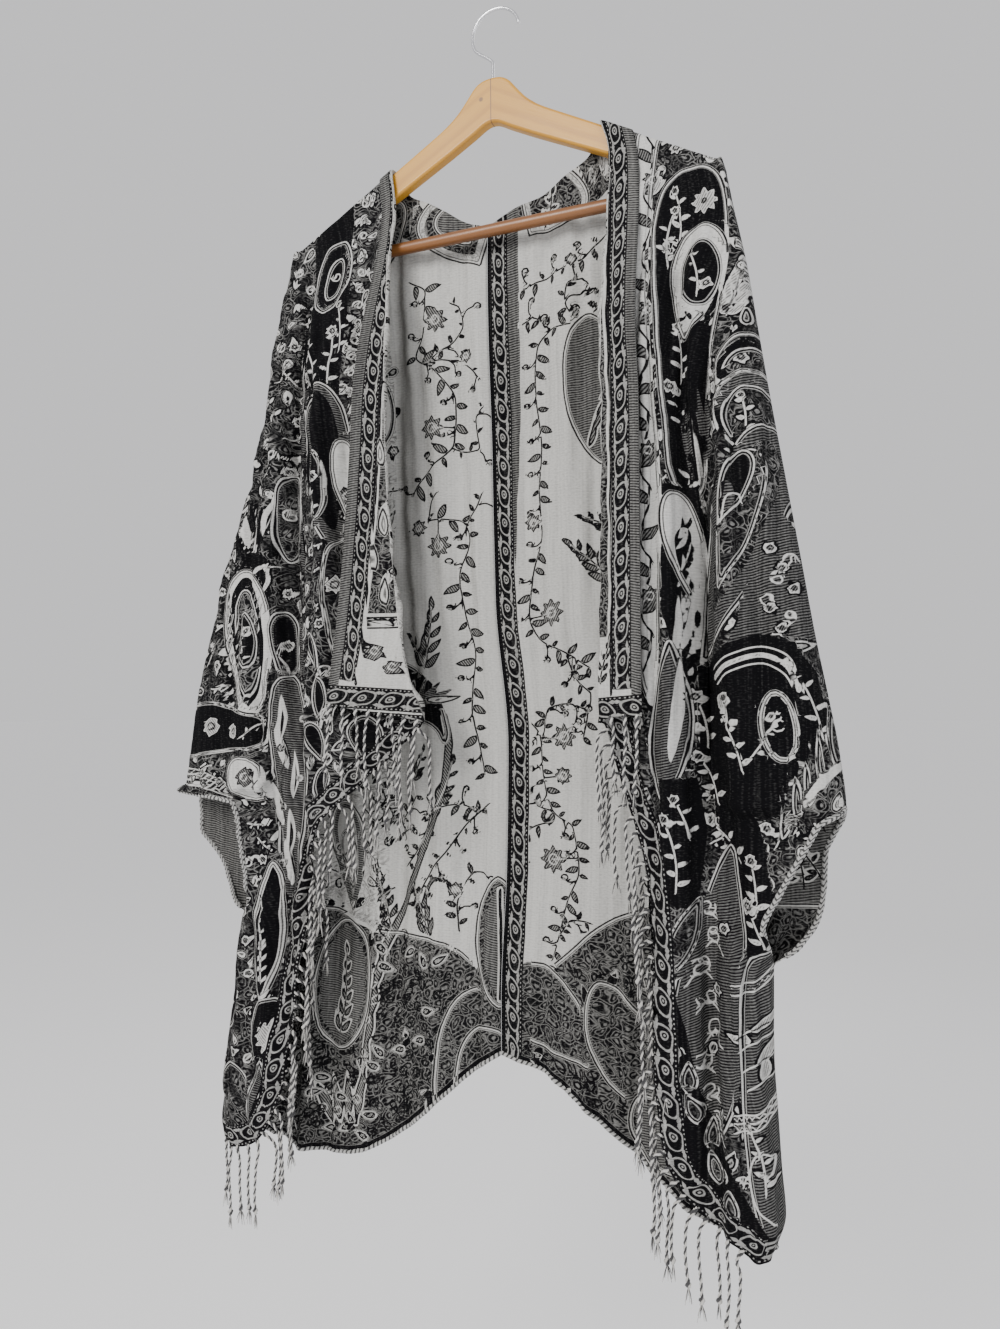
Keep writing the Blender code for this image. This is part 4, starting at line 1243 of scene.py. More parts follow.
def back_drawing(d, side):
    sign = SIDES[side]
    neck = ((-0.004, -0.10), (-0.004, -0.213), (0.060, -0.216), (0.100, -0.208), (0.135, -0.190),
            (0.165, -0.190), (0.20, -0.10))
    d.area([(x * sign, z) for x, z in neck], "scroll", ring=False)
    for k in range(9):
        x = sign * (0.006 + 0.015 * k)
        d.area(drop_shape(x, -0.186 + 0.008 * (k % 2), 0.0075, 0.0150, 30 * (k % 3) - 30, 0.2),
               "none" if k % 2 else "scroll", "flip", 0.0022)
        d.line(curl_line(x + 0.008 * sign, -0.200, 0.005, 80 * k, 1.0))
    outer_back(d, sign)
    if side == "left":
        figures(d, """
            drop -46 -206 50 46 24 .1 scroll busy 8.5
            drop -46 -200 30 28 24 .1 hatch none 3
            drop -128 -205 18 45 -24 .1 scroll none 4
            vine -103 -250 -86 -262 -90 -300 -101 -326 -80 -342 -60 -375 -62 -420 -84 -442 -108 -470 with -76
                -292 13 -84 -402 13.5
            vine -90 -336 -64 -318 -46 -300 -50 -282 -60 -276 leaves 19 10
            vine -92 -334 -60 -333 -40 -345 -30 -357 with -45 -331 8.5 leaves 20 10
            vine -62 -425 -44 -430 -32 -428 -36 -398 -28 -386 leaves 20 9
            vine -112 -508 -88 -498 -56 -500 -46 -520 -57 -560 -50 -600 -40 -640 -44 -690 -36 -730 -30 -760 with
                -77 -526 13.5 -100 -506 10
            vine -50 -505 -36 -488 -30 -474 leaves 16 10
            vine -90 -500 -86 -480 -78 -470 leaves 30 8
            plume -94 -652 62 74 4 22
            plume -94 -652 36 112 3 16
            vine -30 -800 -60 -792 -85 -800 -96 -830 -118 -858 leaves 15 12
            vine -24 -790 -50 -812 -68 -838 -88 -862 -108 -900 leaves 15 10 -1
            plume -78 -792 44 62 3 16
            vine -58 -920 -60 -895 -52 -872 -40 -858 with -61 -878 9 leaves 12 13
            plume -92 -925 50 100 4 20
            line -88 -925 -94 -890 -82 -868 -68 -870 -66 -880 wide 4.5
            vine -150 -760 -140 -790 -128 -812 -105 -785 leaves 14 11
            vine -165 -800 -150 -812 -128 -812 -120 -830 leaves 14 10 -1
            plume -136 -925 62 96 5 17
            plume -110 -770 34 60 3 14
            area -320 -930 -240 -905 -190 -905 -150 -927 -91 -927 -62 -936 -36 -955 -10 -984 50 -1050 50 -1300
                -400 -1300 scroll none 4""")
        hem_figures(d, -0.30, -0.02)
        figures(d, """
            drop -45 -1045 60 75 -38 .1 scroll hatch 6
            drop -40 -1055 34 48 -38 .1 scroll hatch 5
            oval -190 -985 34 70 -6 hatch scroll 8
            plume -195 -1035 85 76 5 18
            area -130 -640 -98 -656 -76 -676 -64 -720 -70 -735 -82 -712 -104 -708 -124 -700 flip
            repeat 5
                leaf -118+6k -700+4k 40 8 62-18k .25 hatch
            end
            line -71 -702 -66.5 -732 -71 -769 -98 -843 -119 -893 -145 -948 wide 7.5
            line -145 -948 -155 -1000 -163 -1043 -170 -1090 -175.5 -1128 wide 4
            repeat 5
                leaf -152-5k -985-30k 40 8 74 .1 ink
            end
            repeat 4
                leaf -205+10k -1135+4k 50 11 104-9k .1 ink
            end""")
    else:
        figures(d, """
            drop 50 -196 50 36 -40 .1 scroll busy 7.5
            sprig 46 -220 30 60 4 12
            vine 108 -240 85 -258 52 -268 22 -276 leaves 16 12
            vine 104 -300 78 -318 50 -320 34 -336 30 -380 35 -430 32 -480 34 -520 24 -560 20 -600 30 -625 60
                -640 84 -655 with 45 -600 14.5 24 -508 10 leaves 18 15
            vine 78 -318 66 -296 70 -280 84 -276 with 74 -258 7 leaves 16 10
            vine 50 -320 30 -306 14 -312 leaves 16 11
            vine 60 -640 70 -665 86 -680 leaves 14 12
            oval 96 -385 34 76 8 .15 hatch hatch 6
            repeat 6
                leaf 84+4k -440+16k 30 6 60-8k .3 ink
            end
            plume 104 -570 50 128 4 22
            plume 108 -520 30 150 3 16
            vine 12 -700 30 -722 34 -760 44 -795 66 -810 72 -850 60 -880 50 -915 42 -940 with 57 -722 13.5 44
                -842 14.5 56 -760 10 leaves 16 14
            vine 34 -720 40 -695 62 -690 82 -700 78 -722 leaves 16 12
            vine 44 -795 24 -790 10 -770 12 -745 leaves 16 13 -1
            vine 44 -805 22 -812 8 -830 12 -852 leaves 16 12
            vine 50 -915 66 -898 84 -900 leaves 14 10
            area -50 -1020 -16 -984 20 -962 60 -930 85 -905 120 -885 200 -870 350 -860 350 -1300 -50 -1300
                scroll none 4""")
        hem_figures(d, 0.00, 0.24)
        figures(d, """
            drop 45 -1000 45 66 48 .1 scroll hatch 5
            oval 110 -1010 30 60 20 .2 scroll hatch 6
            oval 150 -1090 30 40 40 .2 hatch scroll 6
            oval 165 -780 22 60 6 .1 hatch scroll 6""")
    figures(d, """
        oval -14.5 -928 27 66 0 .35 hatch scroll 10
        line -14 -985 -12.5 -930 -13 -875 wide 3""")


def place_of(grid):
    """Where each point of a panel lies in its drawing: as seen from the front, with the lapel's own place beside it."""
    place = grid.points[:, :, [0, 2]].copy()
    first = grid.fold_column
    if first:
        place[:first, :, 0] = grid.sign * (LAPEL_SHIFT + grid.across[:first])
    return place


def draw_pattern(name, grid):
    part, side = name.split("_")
    place = place_of(grid)
    d = Drawing(place, "busy" if part == "front" else "none")
    n, m = grid.points.shape[:2]
    if part == "front":
        first = grid.fold_column
        lapel = np.zeros((n, m), bool)
        lapel[:first] = True
        for zone in d.zones.values():
            zone[lapel.ravel()] = -FAR
        (front_left_drawing if side == "left" else front_right_drawing)(d)
        edge = place[first:, -1][::3]
        band_along(d, edge, 0.0012, 0.0012 + BAND * 0.95)
        lapel_drawing(d, side, float(place[0, -1, 1]))
    else:
        back_drawing(d, side)
        if side == "right":
            centre = place[0][::6]
            index = d.near(centre, 0.045)
            away = to_polyline(d.at[index], centre)
            fade = 0.0125 * smooth((d.at[index][:, 1] + 0.66) / 0.40)
            d.paint(index, np.minimum(away - 0.0225, 0.0225 + fade - away), "hatch")
            d.paint(index, 0.0050 - away, "flip")
            d.ring[index] = np.where(away < 0.0300, FAR, d.ring[index])
            band_along(d, centre, 0.0045, 0.0225)
        hem = place[:, -1][::3]
        index = d.near(hem, 0.02)
        away = to_polyline(d.at[index], hem)
        d.paint(index, 0.006 - away, "flip")
    shape = (n, m, 3)
    zones = d.zones
    return {
        "drawn": np.stack((d.ink, d.ring, zones["flip"]), axis=1).reshape(shape),
        "zone": np.stack((zones["hatch"], zones["busy"], zones["scroll"]), axis=1).reshape(shape),
        "border": d.border.reshape(shape),
        "cloth": np.stack((grid.across.ravel(), grid.down.ravel(), np.abs(d.ring)), axis=1).reshape(shape),
        "stem": np.stack((d.stem, d.stem_away, 0 * d.stem), axis=1).reshape(shape),
    }


def lapel_drawing(d, side, low):
    """The lapel shows the cloth's light face: a grey stripe, the small-paisley band, a black line, then scrolls."""
    sign = SIDES[side]

    def at(across):
        return sign * (LAPEL_SHIFT + across)

    if side == "left":
        d.area([(at(0.024), -0.12), (at(0.14), -0.12), (at(0.14), low + 0.088), (at(0.024), low + 0.088)],
               "scroll", ring=False)
        d.area([(at(0.020), -0.42), (at(0.14), -0.42), (at(0.14), -0.470), (at(0.020), -0.470)], "hatch",
               ring=False)
        for k in range(9):
            d.area(leaf_shape(at(0.034 + 0.007 * (k % 3)), -0.46 - 0.017 * k, 0.030, 0.010, 70 + 40 * (k % 2),
                              0.2), "busy", "none", 0.0012)
            d.line(curl_line(at(0.050), -0.20 - 0.045 * k, 0.008, 90 * k, 1.1))
        for across, z in ((0.041, low + 0.052), (0.062, low + 0.036), (0.082, low + 0.058)):
            d.flower(at(across), z, 0.0105, 7)
            d.shape(leaf_shape(at(across), z, 0.016, 0.006, 200))
        d.line([(at(0.03), low + 0.084), (at(0.13), low + 0.084)], 0.0016, rounded=False)
        d.line([(at(0.03), low + 0.074), (at(0.13), low + 0.074)], 0.0012, rounded=False)
        for k in range(16):
            x = 0.032 + 0.006 * k
            d.line([(at(x), low + 0.0765), (at(x), low + 0.0815), (at(x + 0.0035), low + 0.0815)], 0.0013,
                   rounded=False)
    else:
        d.area([(at(0.032), -0.12), (at(0.14), -0.12), (at(0.14), low + 0.07), (at(0.032), low + 0.07)],
               "scroll", ring=False)
        d.plume(at(0.040), low + 0.030, 0.040, 96, 4, 0.012)
    d.area([(at(-0.01), -0.10), (at(STRIPE), -0.10), (at(STRIPE), low - 0.02), (at(-0.01), low - 0.02)],
           "hatch", ring=False)
    column = [(at(0.0), -0.12), (at(0.0), -0.45), (at(0.0), low - 0.01)]
    band_along(d, column, STRIPE + 0.0005, STRIPE + 0.0005 + BAND * 0.8)
    line = STRIPE + BAND * 0.8 + 0.0022
    d.line([(at(line), -0.12), (at(line), low)], 0.0030, rounded=False)
    band_along(d, [(at(-0.005), low - 0.002), (at(0.14), low - 0.012)], 0.0015, 0.0015 + BAND)


# ---------------------------------------------------------------- materials
class Step:
    """One number inside a material, so that a material reads like a formula."""

    def __init__(self, tree, socket):
        self.tree, self.socket = tree, socket

    def made(self, kind, *inputs, clamp=False):
        node = self.tree.nodes.new("ShaderNodeMath")
        node.operation = kind
        node.use_clamp = clamp
        for k, value in enumerate(inputs):
            if isinstance(value, Step):
                self.tree.links.new(value.socket, node.inputs[k])
            else:
                node.inputs[k].default_value = value
        return Step(self.tree, node.outputs[0])

    def __add__(self, other):
        return self.made("ADD", self, other)

    __radd__ = __add__

    def __sub__(self, other):
        return self.made("SUBTRACT", self, other)

    def __rsub__(self, other):
        return self.made("SUBTRACT", other, self)

    def __mul__(self, other):
        return self.made("MULTIPLY", self, other)

    __rmul__ = __mul__

    def sine(self):
        return self.made("SINE", self)

    def fraction(self):
        return self.made("FRACT", self)

    def size(self):
        return self.made("ABSOLUTE", self)

    def power(self, other):
        return self.made("POWER", self, other)

    def most(self, other):
        return self.made("MAXIMUM", self, other)

    def least(self, other):
        return self.made("MINIMUM", self, other)

    def scaled(self, gain, offset):
        return self.made("MULTIPLY_ADD", self, gain, offset, clamp=True)

    def filled(self, soft=0.0005):
        """1 where a distance is positive, 0 where it is negative."""
        return self.scaled(1 / soft, 0.5)

    def stroke(self, at, half, soft=0.0005):
        """1 on a line where a distance has the given value."""
        return (half - (self - at).size()).filled(soft)

    def towards(self, other, share):
        return self + (other - self) * share


class Look:
    """A principled material and the few kinds of nodes these materials use."""

    def __init__(self, name):
        self.mat = bpy.data.materials.new(name)
        self.mat.use_nodes = True
        self.tree = self.mat.node_tree
        self.shader = self.tree.nodes["Principled BSDF"]

    def node(self, kind, **inputs):
        node = self.tree.nodes.new(kind)
        for key, value in inputs.items():
            if isinstance(value, Step):
                self.tree.links.new(value.socket, node.inputs[key])
            else:
                node.inputs[key].default_value = value
        return node

    def field(self, name):
        node = self.tree.nodes.new("ShaderNodeAttribute")
        node.attribute_name = name
        split = self.tree.nodes.new("ShaderNodeSeparateXYZ")
        self.tree.links.new(node.outputs["Vector"], split.inputs[0])
        return tuple(Step(self.tree, split.outputs[k]) for k in range(3))

    def place(self, x, y, z=0.0):
        return Step(self.tree, self.node("ShaderNodeCombineXYZ", X=x, Y=y, Z=z).outputs[0])

    def noise(self, place, scale, detail=2.0, flat="2D"):
        node = self.node("ShaderNodeTexNoise", Vector=place, Scale=scale, Detail=detail)
        node.noise_dimensions = flat
        return Step(self.tree, node.outputs["Fac"])

    def cells(self, place, scale, feature="F1"):
        node = self.node("ShaderNodeTexVoronoi", Vector=place, Scale=scale)
        node.voronoi_dimensions = "2D"
        node.feature = feature
        return Step(self.tree, node.outputs["Distance"])

    def blend(self, share, low, high):
        node = self.tree.nodes.new("ShaderNodeMix")
        node.data_type = "RGBA"
        self.tree.links.new(share.socket, node.inputs["Factor"])
        for name, value in (("A", low), ("B", high)):
            socket = next(s for s in node.inputs if s.name == name and s.type == "RGBA")
            if isinstance(value, Step):
                self.tree.links.new(value.socket, socket)
            else:
                socket.default_value = (*value, 1)
        return Step(self.tree, next(s for s in node.outputs if s.type == "RGBA"))

    def finish(self, colour, rough, height=None, distance=0.0004, strength=0.6, **fixed):
        for key, value in fixed.items():
            self.shader.inputs[key.replace("_", " ")].default_value = value
        self.tree.links.new(colour.socket, self.shader.inputs["Base Color"])
        if isinstance(rough, Step):
            self.tree.links.new(rough.socket, self.shader.inputs["Roughness"])
        else:
            self.shader.inputs["Roughness"].default_value = rough
        if height is not None:
            bump = self.node("ShaderNodeBump", Height=height)
            bump.inputs["Distance"].default_value = distance
            bump.inputs["Strength"].default_value = strength
            self.tree.links.new(bump.outputs["Normal"], self.shader.inputs["Normal"])
        return self.mat


# Values for the cloth's dark face (False) and its light reverse (True).
INNER_SHADE = {False: 0.50, True: 0.62}     # how dark the hatched inside of a motif is
HATCH_SHADE = {False: 0.05, True: 0.56}     # the ground between a hatching's lines
CONTRAST = {False: 1.6, True: 1.4}          # above 1, the middle tones are darker
BLACK_YARN = (0.0022, 0.0021, 0.0028)
# The light reverse's pale yarn is the same yarn as the face's, set darker as painted shade for the back's inside, which
# lies in the fronts' shade.
PALE_YARN = {False: (0.50, 0.494, 0.478), True: (0.45, 0.444, 0.424)}


DROP_STEP = 0.029       # from one small paisley of a band to the next
DOT_STEP = 0.0044       # and from dot to dot
BAND_WIDE = 0.019       # the width that the band's figures are drawn for
WEFTS = 330             # ridges of the weave in a metre


def woven(name, reverse):
    """One face of the jacquard cloth. The reverse face shows the same figures with its yarns changed over."""
    look = Look(name)
    ink, ring, flip = look.field("drawn")
    hatch, busy, scroll = look.field("zone")
    share, run, band = look.field("border")
    a, b, ring_away = look.field("cloth")
    stem, stem_away, _ = look.field("stem")
    # Fills: fine slanting lines, a scroll filigree, and a darker one.
    stir = look.noise(look.place(a, b), 55.0, 1.0)
    lines = (b * 2600.0 + a * 500.0 + stir * 5.0).sine().scaled(0.9, 0.45)
    bent = look.place(a + stir * 0.020, b + stir * 0.011)
    near = look.cells(bent, 88.0)
    edge = look.cells(bent, 88.0, "DISTANCE_TO_EDGE")
    petals = near.stroke(0.42, 0.045, 0.05).most(edge.stroke(0.0, 0.045, 0.05)).most((0.15 - near).filled(0.06))
    leaves = look.cells(look.place(a + stir * 0.03, b * 0.55 - stir * 0.012), 150.0, "DISTANCE_TO_EDGE")
    filigree = petals.most(leaves.stroke(0.0, 0.055, 0.06) * 0.6)
    patch = (stir - 0.52).filled(0.10)
    tone = hatch.filled() * (lines * 0.34 + HATCH_SHADE[reverse])
    tone = tone + busy.filled() * (filigree * (0.46 - patch * 0.28) + 0.02)
    tone = tone + scroll.filled() * (0.98 - filigree * 0.40)
    # Motifs have a plain edge and a hatched inside, and stand clear of the fills by a thin line of ground.
    in_ink = ink.filled()
    clear = in_ink.most(ink.stroke(-0.0008, 0.0009))
    weave_line = (a * 2300.0 + b * 1500.0).sine().scaled(0.5, 0.45)
    inside = (ink - 0.0013).filled(0.0008)
    tone = tone * (1.0 - clear) + in_ink * (1.0 - inside * (1.0 - weave_line) * INNER_SHADE[reverse])
    # Outlines of the large figures: a heavy line, a gap and a fine line.
    sure = (0.0052 - ring_away).filled(0.0008)
    margin = ring.stroke(0.0016, 0.0024) * sure
    outline = (ring.stroke(0.0004, 0.0008) * 0.92).most(ring.stroke(0.0031, 0.0005) * 0.70) * sure
    tone = tone * (1.0 - margin) + outline
    thin = stem.stroke(0.0, 0.00075) * (0.0024 - stem_away).filled(0.0006)
    tone = tone + (1.0 - in_ink * 1.6 - tone * (1.0 - in_ink)) * thin
    tone = tone.towards(1.0 - tone, flip.filled())
    if reverse:
        tone = 1.0 - tone
    # Small-paisley bands: a leaning drop every 29 mm with a curl in it, between two dotted lines.
    down = ((run * (1 / DROP_STEP)).fraction() - 0.5) * DROP_STEP
    slant = (share - 0.5) * BAND_WIDE - down * down.size() * 26.0 - 0.0004
    body = 0.0066 - (slant * slant + down * down * 0.27).power(0.5) - down * 0.11
    bud = down + 0.0035
    curl = (slant * slant + bud * bud * 0.45).power(0.5)
    drops = body.stroke(0.0006, 0.0007).most(curl.stroke(0.0024, 0.0006)).most((0.0009 - curl).filled())
    far = down.size() - 0.0125
    sprig = (0.0017 - ((share - 0.5).size() * BAND_WIDE - 0.0055).size() - far.size() * 0.35).filled()
    off = (share - 0.5).size() * BAND_WIDE - 0.0087
    dots_down = ((run * (1 / DOT_STEP)).fraction() - 0.5) * DOT_STEP
    dots = (0.0009 - (off * off + dots_down * dots_down).power(0.5)).filled()
    chart = drops.most(dots).most(sprig)
    tone = tone.towards(chart * 0.66 + 0.01, band.filled())
    tone = tone * (1.0 - band.stroke(0.0, 0.0006))
    # Yarn: short floats across the cloth break every figure up a little, warp streaks and crepe make it uneven.
    floats = look.noise(look.place(a * 300.0, b * 900.0), 1.0, 1.0)
    streak = look.noise(look.place(a * 420.0, b * 7.0), 1.0, 1.0)
    tone = tone * 0.95 + (floats - 0.5) * 0.34 + (streak - 0.5) * 0.24
    tone = tone.most(0.0).least(1.0).power(CONTRAST[reverse])
    colour = look.blend(tone, BLACK_YARN, PALE_YARN[reverse])
    height = (b * 2 * math.pi * WEFTS).sine() * 0.3 + look.noise(look.place(a * 150.0, b * 420.0), 1.0, 1.0)
    return look.finish(colour, 0.93, height, 0.0006, 0.55, Specular_IOR_Level=0.08)


def yarn(name, low, high):
    """Twisted yarn: fibres of two near tones with a soft fuzz."""
    look = Look(name)
    spot = look.tree.nodes.new("ShaderNodeTexCoord")
    place = Step(look.tree, spot.outputs["Object"])
    fibre = look.noise(place, 900.0, 2.0, "3D")
    clump = look.noise(place, 140.0, 1.0, "3D")
    share = (fibre * 0.7 + clump * 0.6 - 0.3).most(0.0).least(1.0)
    return look.finish(look.blend(share, low, high), 0.95, fibre, 0.0003, 0.7, Sheen_Weight=0.2,
                       Sheen_Roughness=0.7)


def whipped(name):
    """The back's hem: black and off-white stitches wound slantwise round the edge."""
    look = Look(name)
    along_edge, around, _ = look.field("edge")
    turn = (along_edge * (1 / 0.0052) + around).fraction()
    light = (0.30 - (turn - 0.3).size()).filled(0.12)
    fibre = look.noise(look.place(along_edge * 2000.0, around * 12.0), 1.0, 2.0)
    share = light * 0.75 + fibre * 0.16
    ridge = (turn * 2 * math.pi * 2).sine()
    return look.finish(look.blend(share, BLACK_YARN, PALE_YARN[False]), 0.95, ridge * 0.7 + fibre, 0.0006, 0.7,
                       Sheen_Weight=0.15)


def varnished(name, low, high, tilt=0.0, scale=1.0):
    """Varnished wood with its grain along X."""
    look = Look(name)
    spot = look.tree.nodes.new("ShaderNodeTexCoord")
    split = look.tree.nodes.new("ShaderNodeSeparateXYZ")
    look.tree.links.new(spot.outputs["Object"], split.inputs[0])
    x, y, z = (Step(look.tree, split.outputs[k]) for k in range(3))
    level = z + x.size() * tilt
    place = look.place(x * 2.2, y * 60.0, level * 60.0)
    wander = look.noise(place, 1.2 * scale, 3.0, "3D")
    rings = ((level * 420.0 * scale + wander * 9.0).sine() * 0.5 + 0.5).power(1.6)
    pores = look.noise(look.place(x * 60.0, y * 900.0, level * 900.0), 1.0, 2.0, "3D")
    share = (rings * 0.45 + wander * 0.5 + (pores - 0.5) * 0.35).most(0.0).least(1.0)
    rough = 0.36 + pores * 0.14
    return look, look.blend(share, high, low), rough, pores, (x, y, z)


def looks():
    wood, colour, rough, pores, (x, y, z) = varnished("beech", (0.40, 0.176, 0.012), (0.57, 0.285, 0.022),
                                                      ARM_SLOPE)
    # The joint between the two arms, and a small bruise beside the hook.
    joint = (0.0004 - x.size()).filled(0.0004)
    bruise = (0.0022
              - ((x + 0.0105) * (x + 0.0105)
                 + (z - WOOD_TOP + 0.0205) * (z - WOOD_TOP + 0.0205)).power(0.5)).filled(0.0012)
    colour = wood.blend(joint.most(bruise * 0.8), colour, (0.10, 0.045, 0.02))
    wood.finish(colour, rough, pores, 0.0002, 0.35, Coat_Weight=0.2, Coat_Roughness=0.25)
    dowel, colour, rough, pores, _ = varnished("dowel_wood", (0.120, 0.040, 0.008), (0.23, 0.088, 0.020), 0.0,
                                               1.6)
    dowel.finish(colour, rough, pores, 0.0002, 0.35, Coat_Weight=0.2, Coat_Roughness=0.25)
    steel = Look("steel")
    spot = steel.tree.nodes.new("ShaderNodeTexCoord")
    drawn = steel.noise(Step(steel.tree, spot.outputs["Object"]), 420.0, 3.0, "3D")
    colour = steel.blend(drawn, (0.62, 0.62, 0.64), (0.80, 0.80, 0.82))
    steel.finish(colour, 0.14 + drawn * 0.14, drawn, 0.0001, 0.2, Metallic=1.0)
    return {"dark": woven("jacquard_dark_face", False), "light": woven("jacquard_light_face", True),
            "cord_dark": yarn("cord_black", (0.006, 0.006, 0.007), (0.035, 0.033, 0.036)),
            "cord_light": yarn("cord_pale", (0.34, 0.33, 0.31), (0.62, 0.60, 0.57)),
            "overcast": whipped("whip_stitch"), "wood": wood.mat, "dowel": dowel.mat, "steel": steel.mat}


# ---------------------------------------------------------------- fringe
def lower_edge(grid):
    """Points of a front's lower edge on the cloth's middle, the way out of the cloth and the way through it."""
    last = grid.points[:, -1]
    above = grid.points[:, -7]
    through = grid.normals()[:, -1]
    tangent = unit(np.gradient(last, axis=0))
    hanging = last - above
    away = unit(hanging - tangent * np.einsum("ij,ij->i", hanging, tangent)[:, None])
    middle = last + through * (SHEET / 2)
    lengths = run_of(last)
    return lengths, middle, away, through


def cord_path(root, away, number):
    """Middle line of one cord: out of the edge, then hanging down with a slight wave."""
    level = np.array([away[0], away[1], 0.0])
    length = STRAND_LENGTH * (1.0 + 0.10 * math.sin(2.4 * number) + 0.05 * math.sin(5.1 * number))
    spread = level * (0.003 + STRAND_SPREAD * ((number // 3) % 3))
    swing = np.array([0.0, STRAND_SPREAD * (number % 3 - 1), 0.0])
    bend = root + away * 0.004 + (spread + swing) * 0.55 - np.array([0, 0, 0.007])
    knots = [root - away * 0.003, root, bend]
    for share in (0.3, 0.5, 0.7, 0.85, 1.0):
        wave = np.array([0.0022 * math.sin(5.5 * share + number), 0.0012 * math.cos(4.1 * share + 2 * number),
                         0.0])
        knots.append(root + spread + swing + wave * share - np.array([0, 0, share * length]))
    knots = np.array(knots)
    keys = run_of(knots)
    return spline(keys, knots, np.linspace(0, keys[-1], 44)), keys[-1]


def twisted_cord(path, length, number, verts, faces, kinds):
    """Two plies twisted round each other, a knot near the end and a small tuft of loose ends."""
    n = len(path)
    at = np.linspace(0, length, n)
    tangent = unit(np.gradient(path, axis=0))
    ref = np.array([0.0, 1.0, 0.0])
    one = unit(ref - tangent * (tangent @ ref)[:, None])
    two = np.cross(tangent, one)
    knot = length - 0.011
    swell = 1 + 0.9 * np.exp(-((at - knot) / 0.0026) ** 2) + 0.5 * np.exp(-((at - 0.004) / 0.003) ** 2)
    cord_end = int(np.searchsorted(at, knot + 0.0035))
    phase = 2 * math.pi * at / 0.0085 + 1.3 * number
    for ply in (0, 1):
        turn = phase + math.pi * ply
        offset = 0.00078 * swell[:, None] * (np.cos(turn)[:, None] * one + np.sin(turn)[:, None] * two)
        v, f = tube([(path + offset)[:cord_end]], (0.00088 * swell)[:cord_end], 5)
        faces += [tuple(k + len(verts) for k in face) for face in f]
        kinds += [ply] * len(f)
        verts += v
    foot = path[cord_end - 1]
    for k in range(7):
        spin = 2 * math.pi * k / 7 + number
        lean = np.array([math.cos(spin), math.sin(spin), 0.0]) * (0.0018 + 0.0012 * ((k * 3 + number) % 3))
        drop = 0.009 + 0.002 * ((k + number) % 4)
        ends = [foot, foot + lean * 0.55 - np.array([0, 0, drop * 0.4]), foot + lean - np.array([0, 0, drop])]
        v, f = tube([ends], np.array([0.0006, 0.00045, 0.0002]), 3)
        faces += [tuple(i + len(verts) for i in face) for face in f]
        kinds += [(k + number) % 2] * len(f)
        verts += v


def fringe(name, grid, side, mats):
    lengths, middle, away, through = lower_edge(grid)
    coarse_fold = lengths[grid.fold_column]
    verts, faces, kinds = [], [], []
    at = 0.004
    number = 0
    while at < lengths[-1] - BARE_CORNER[side]:
        if not coarse_fold - 0.007 < at < coarse_fold + 0.009:
            point, out, across = (np.array([np.interp(at, lengths, field[:, k]) for k in range(3)])
                                  for field in (middle, away, through))
            out /= np.linalg.norm(out)
            path, length = cord_path(point + out * 0.001, out, number)
            twisted_cord(path, length, number, verts, faces, kinds)
            number += 1
        at += STRAND_PITCH
    return new_object(name, mesh_from(name, verts, faces, mats, kinds))


# ---------------------------------------------------------------- sewn edges
def rolled_edge(name, points, radius, mat):
    """A narrow rolled and overcast edge along a line of points."""
    points = np.asarray(points, float)
    lengths = run_of(points)
    at = np.linspace(0, lengths[-1], max(8, int(lengths[-1] / 0.0022)))
    path = np.stack([np.interp(at, lengths, points[:, k]) for k in range(3)], axis=1)
    bumps = radius * (1 + 0.16 * np.sin(2 * math.pi * at / 0.0045) + 0.08 * np.sin(at * 310))
    verts, faces = tube([path], bumps, 8)
    mesh = mesh_from(name, verts, faces, [mat])
    along_edge = np.repeat(at, 8)
    vector_attribute(mesh, "edge",
                     np.stack((along_edge, np.tile(np.arange(8) / 8, len(at)), 0 * along_edge), axis=1))
    return new_object(name, mesh)


def cuff_roll(name, grid, mat):
    """The cuff's edge, rolled and puckered, along its open height."""
    open_rows = np.where(cuff_opening(grid.points[-1, :, 2]) > 0.03)[0]
    edge = grid.points[-1, open_rows] + grid.normals()[-1, open_rows] * 0.0004
    lengths = np.linspace(0, 1, len(edge))
    edge[:, 0] -= grid.sign * 0.0016
    edge[:, 1] += 0.0009 * np.sin(lengths * 31)
    return rolled_edge(name, edge, 0.0024, mat)


# ---------------------------------------------------------------- hanger
def hanger_outline():
    end_top = ARM_START[1] - ARM_SLOPE * (ARM_END - 0.008 - ARM_START[0])

    def top(out):
        return ARM_START[1] - ARM_SLOPE * (out - ARM_START[0])
    return [(0.0, WOOD_TOP), (0.010, WOOD_TOP - 0.0010), (0.0185, WOOD_TOP - 0.0060),
            (0.026, WOOD_TOP - 0.0160), (0.036, WOOD_TOP - 0.0280), (0.046, WOOD_TOP - 0.0365),
            ARM_START, (0.130, top(0.130)), (ARM_END - 0.008, end_top),
            (ARM_END - 0.001, end_top - 0.0075), (ARM_END, end_top - 0.018),
            (ARM_END - 0.006, -0.2325), (BAR_SEAT, -0.2325), (BAR_SEAT, -0.2115),
            (0.110, -0.1715), (0.045, -0.1385), (0.018, -0.1240), (0.007, -0.1172)]


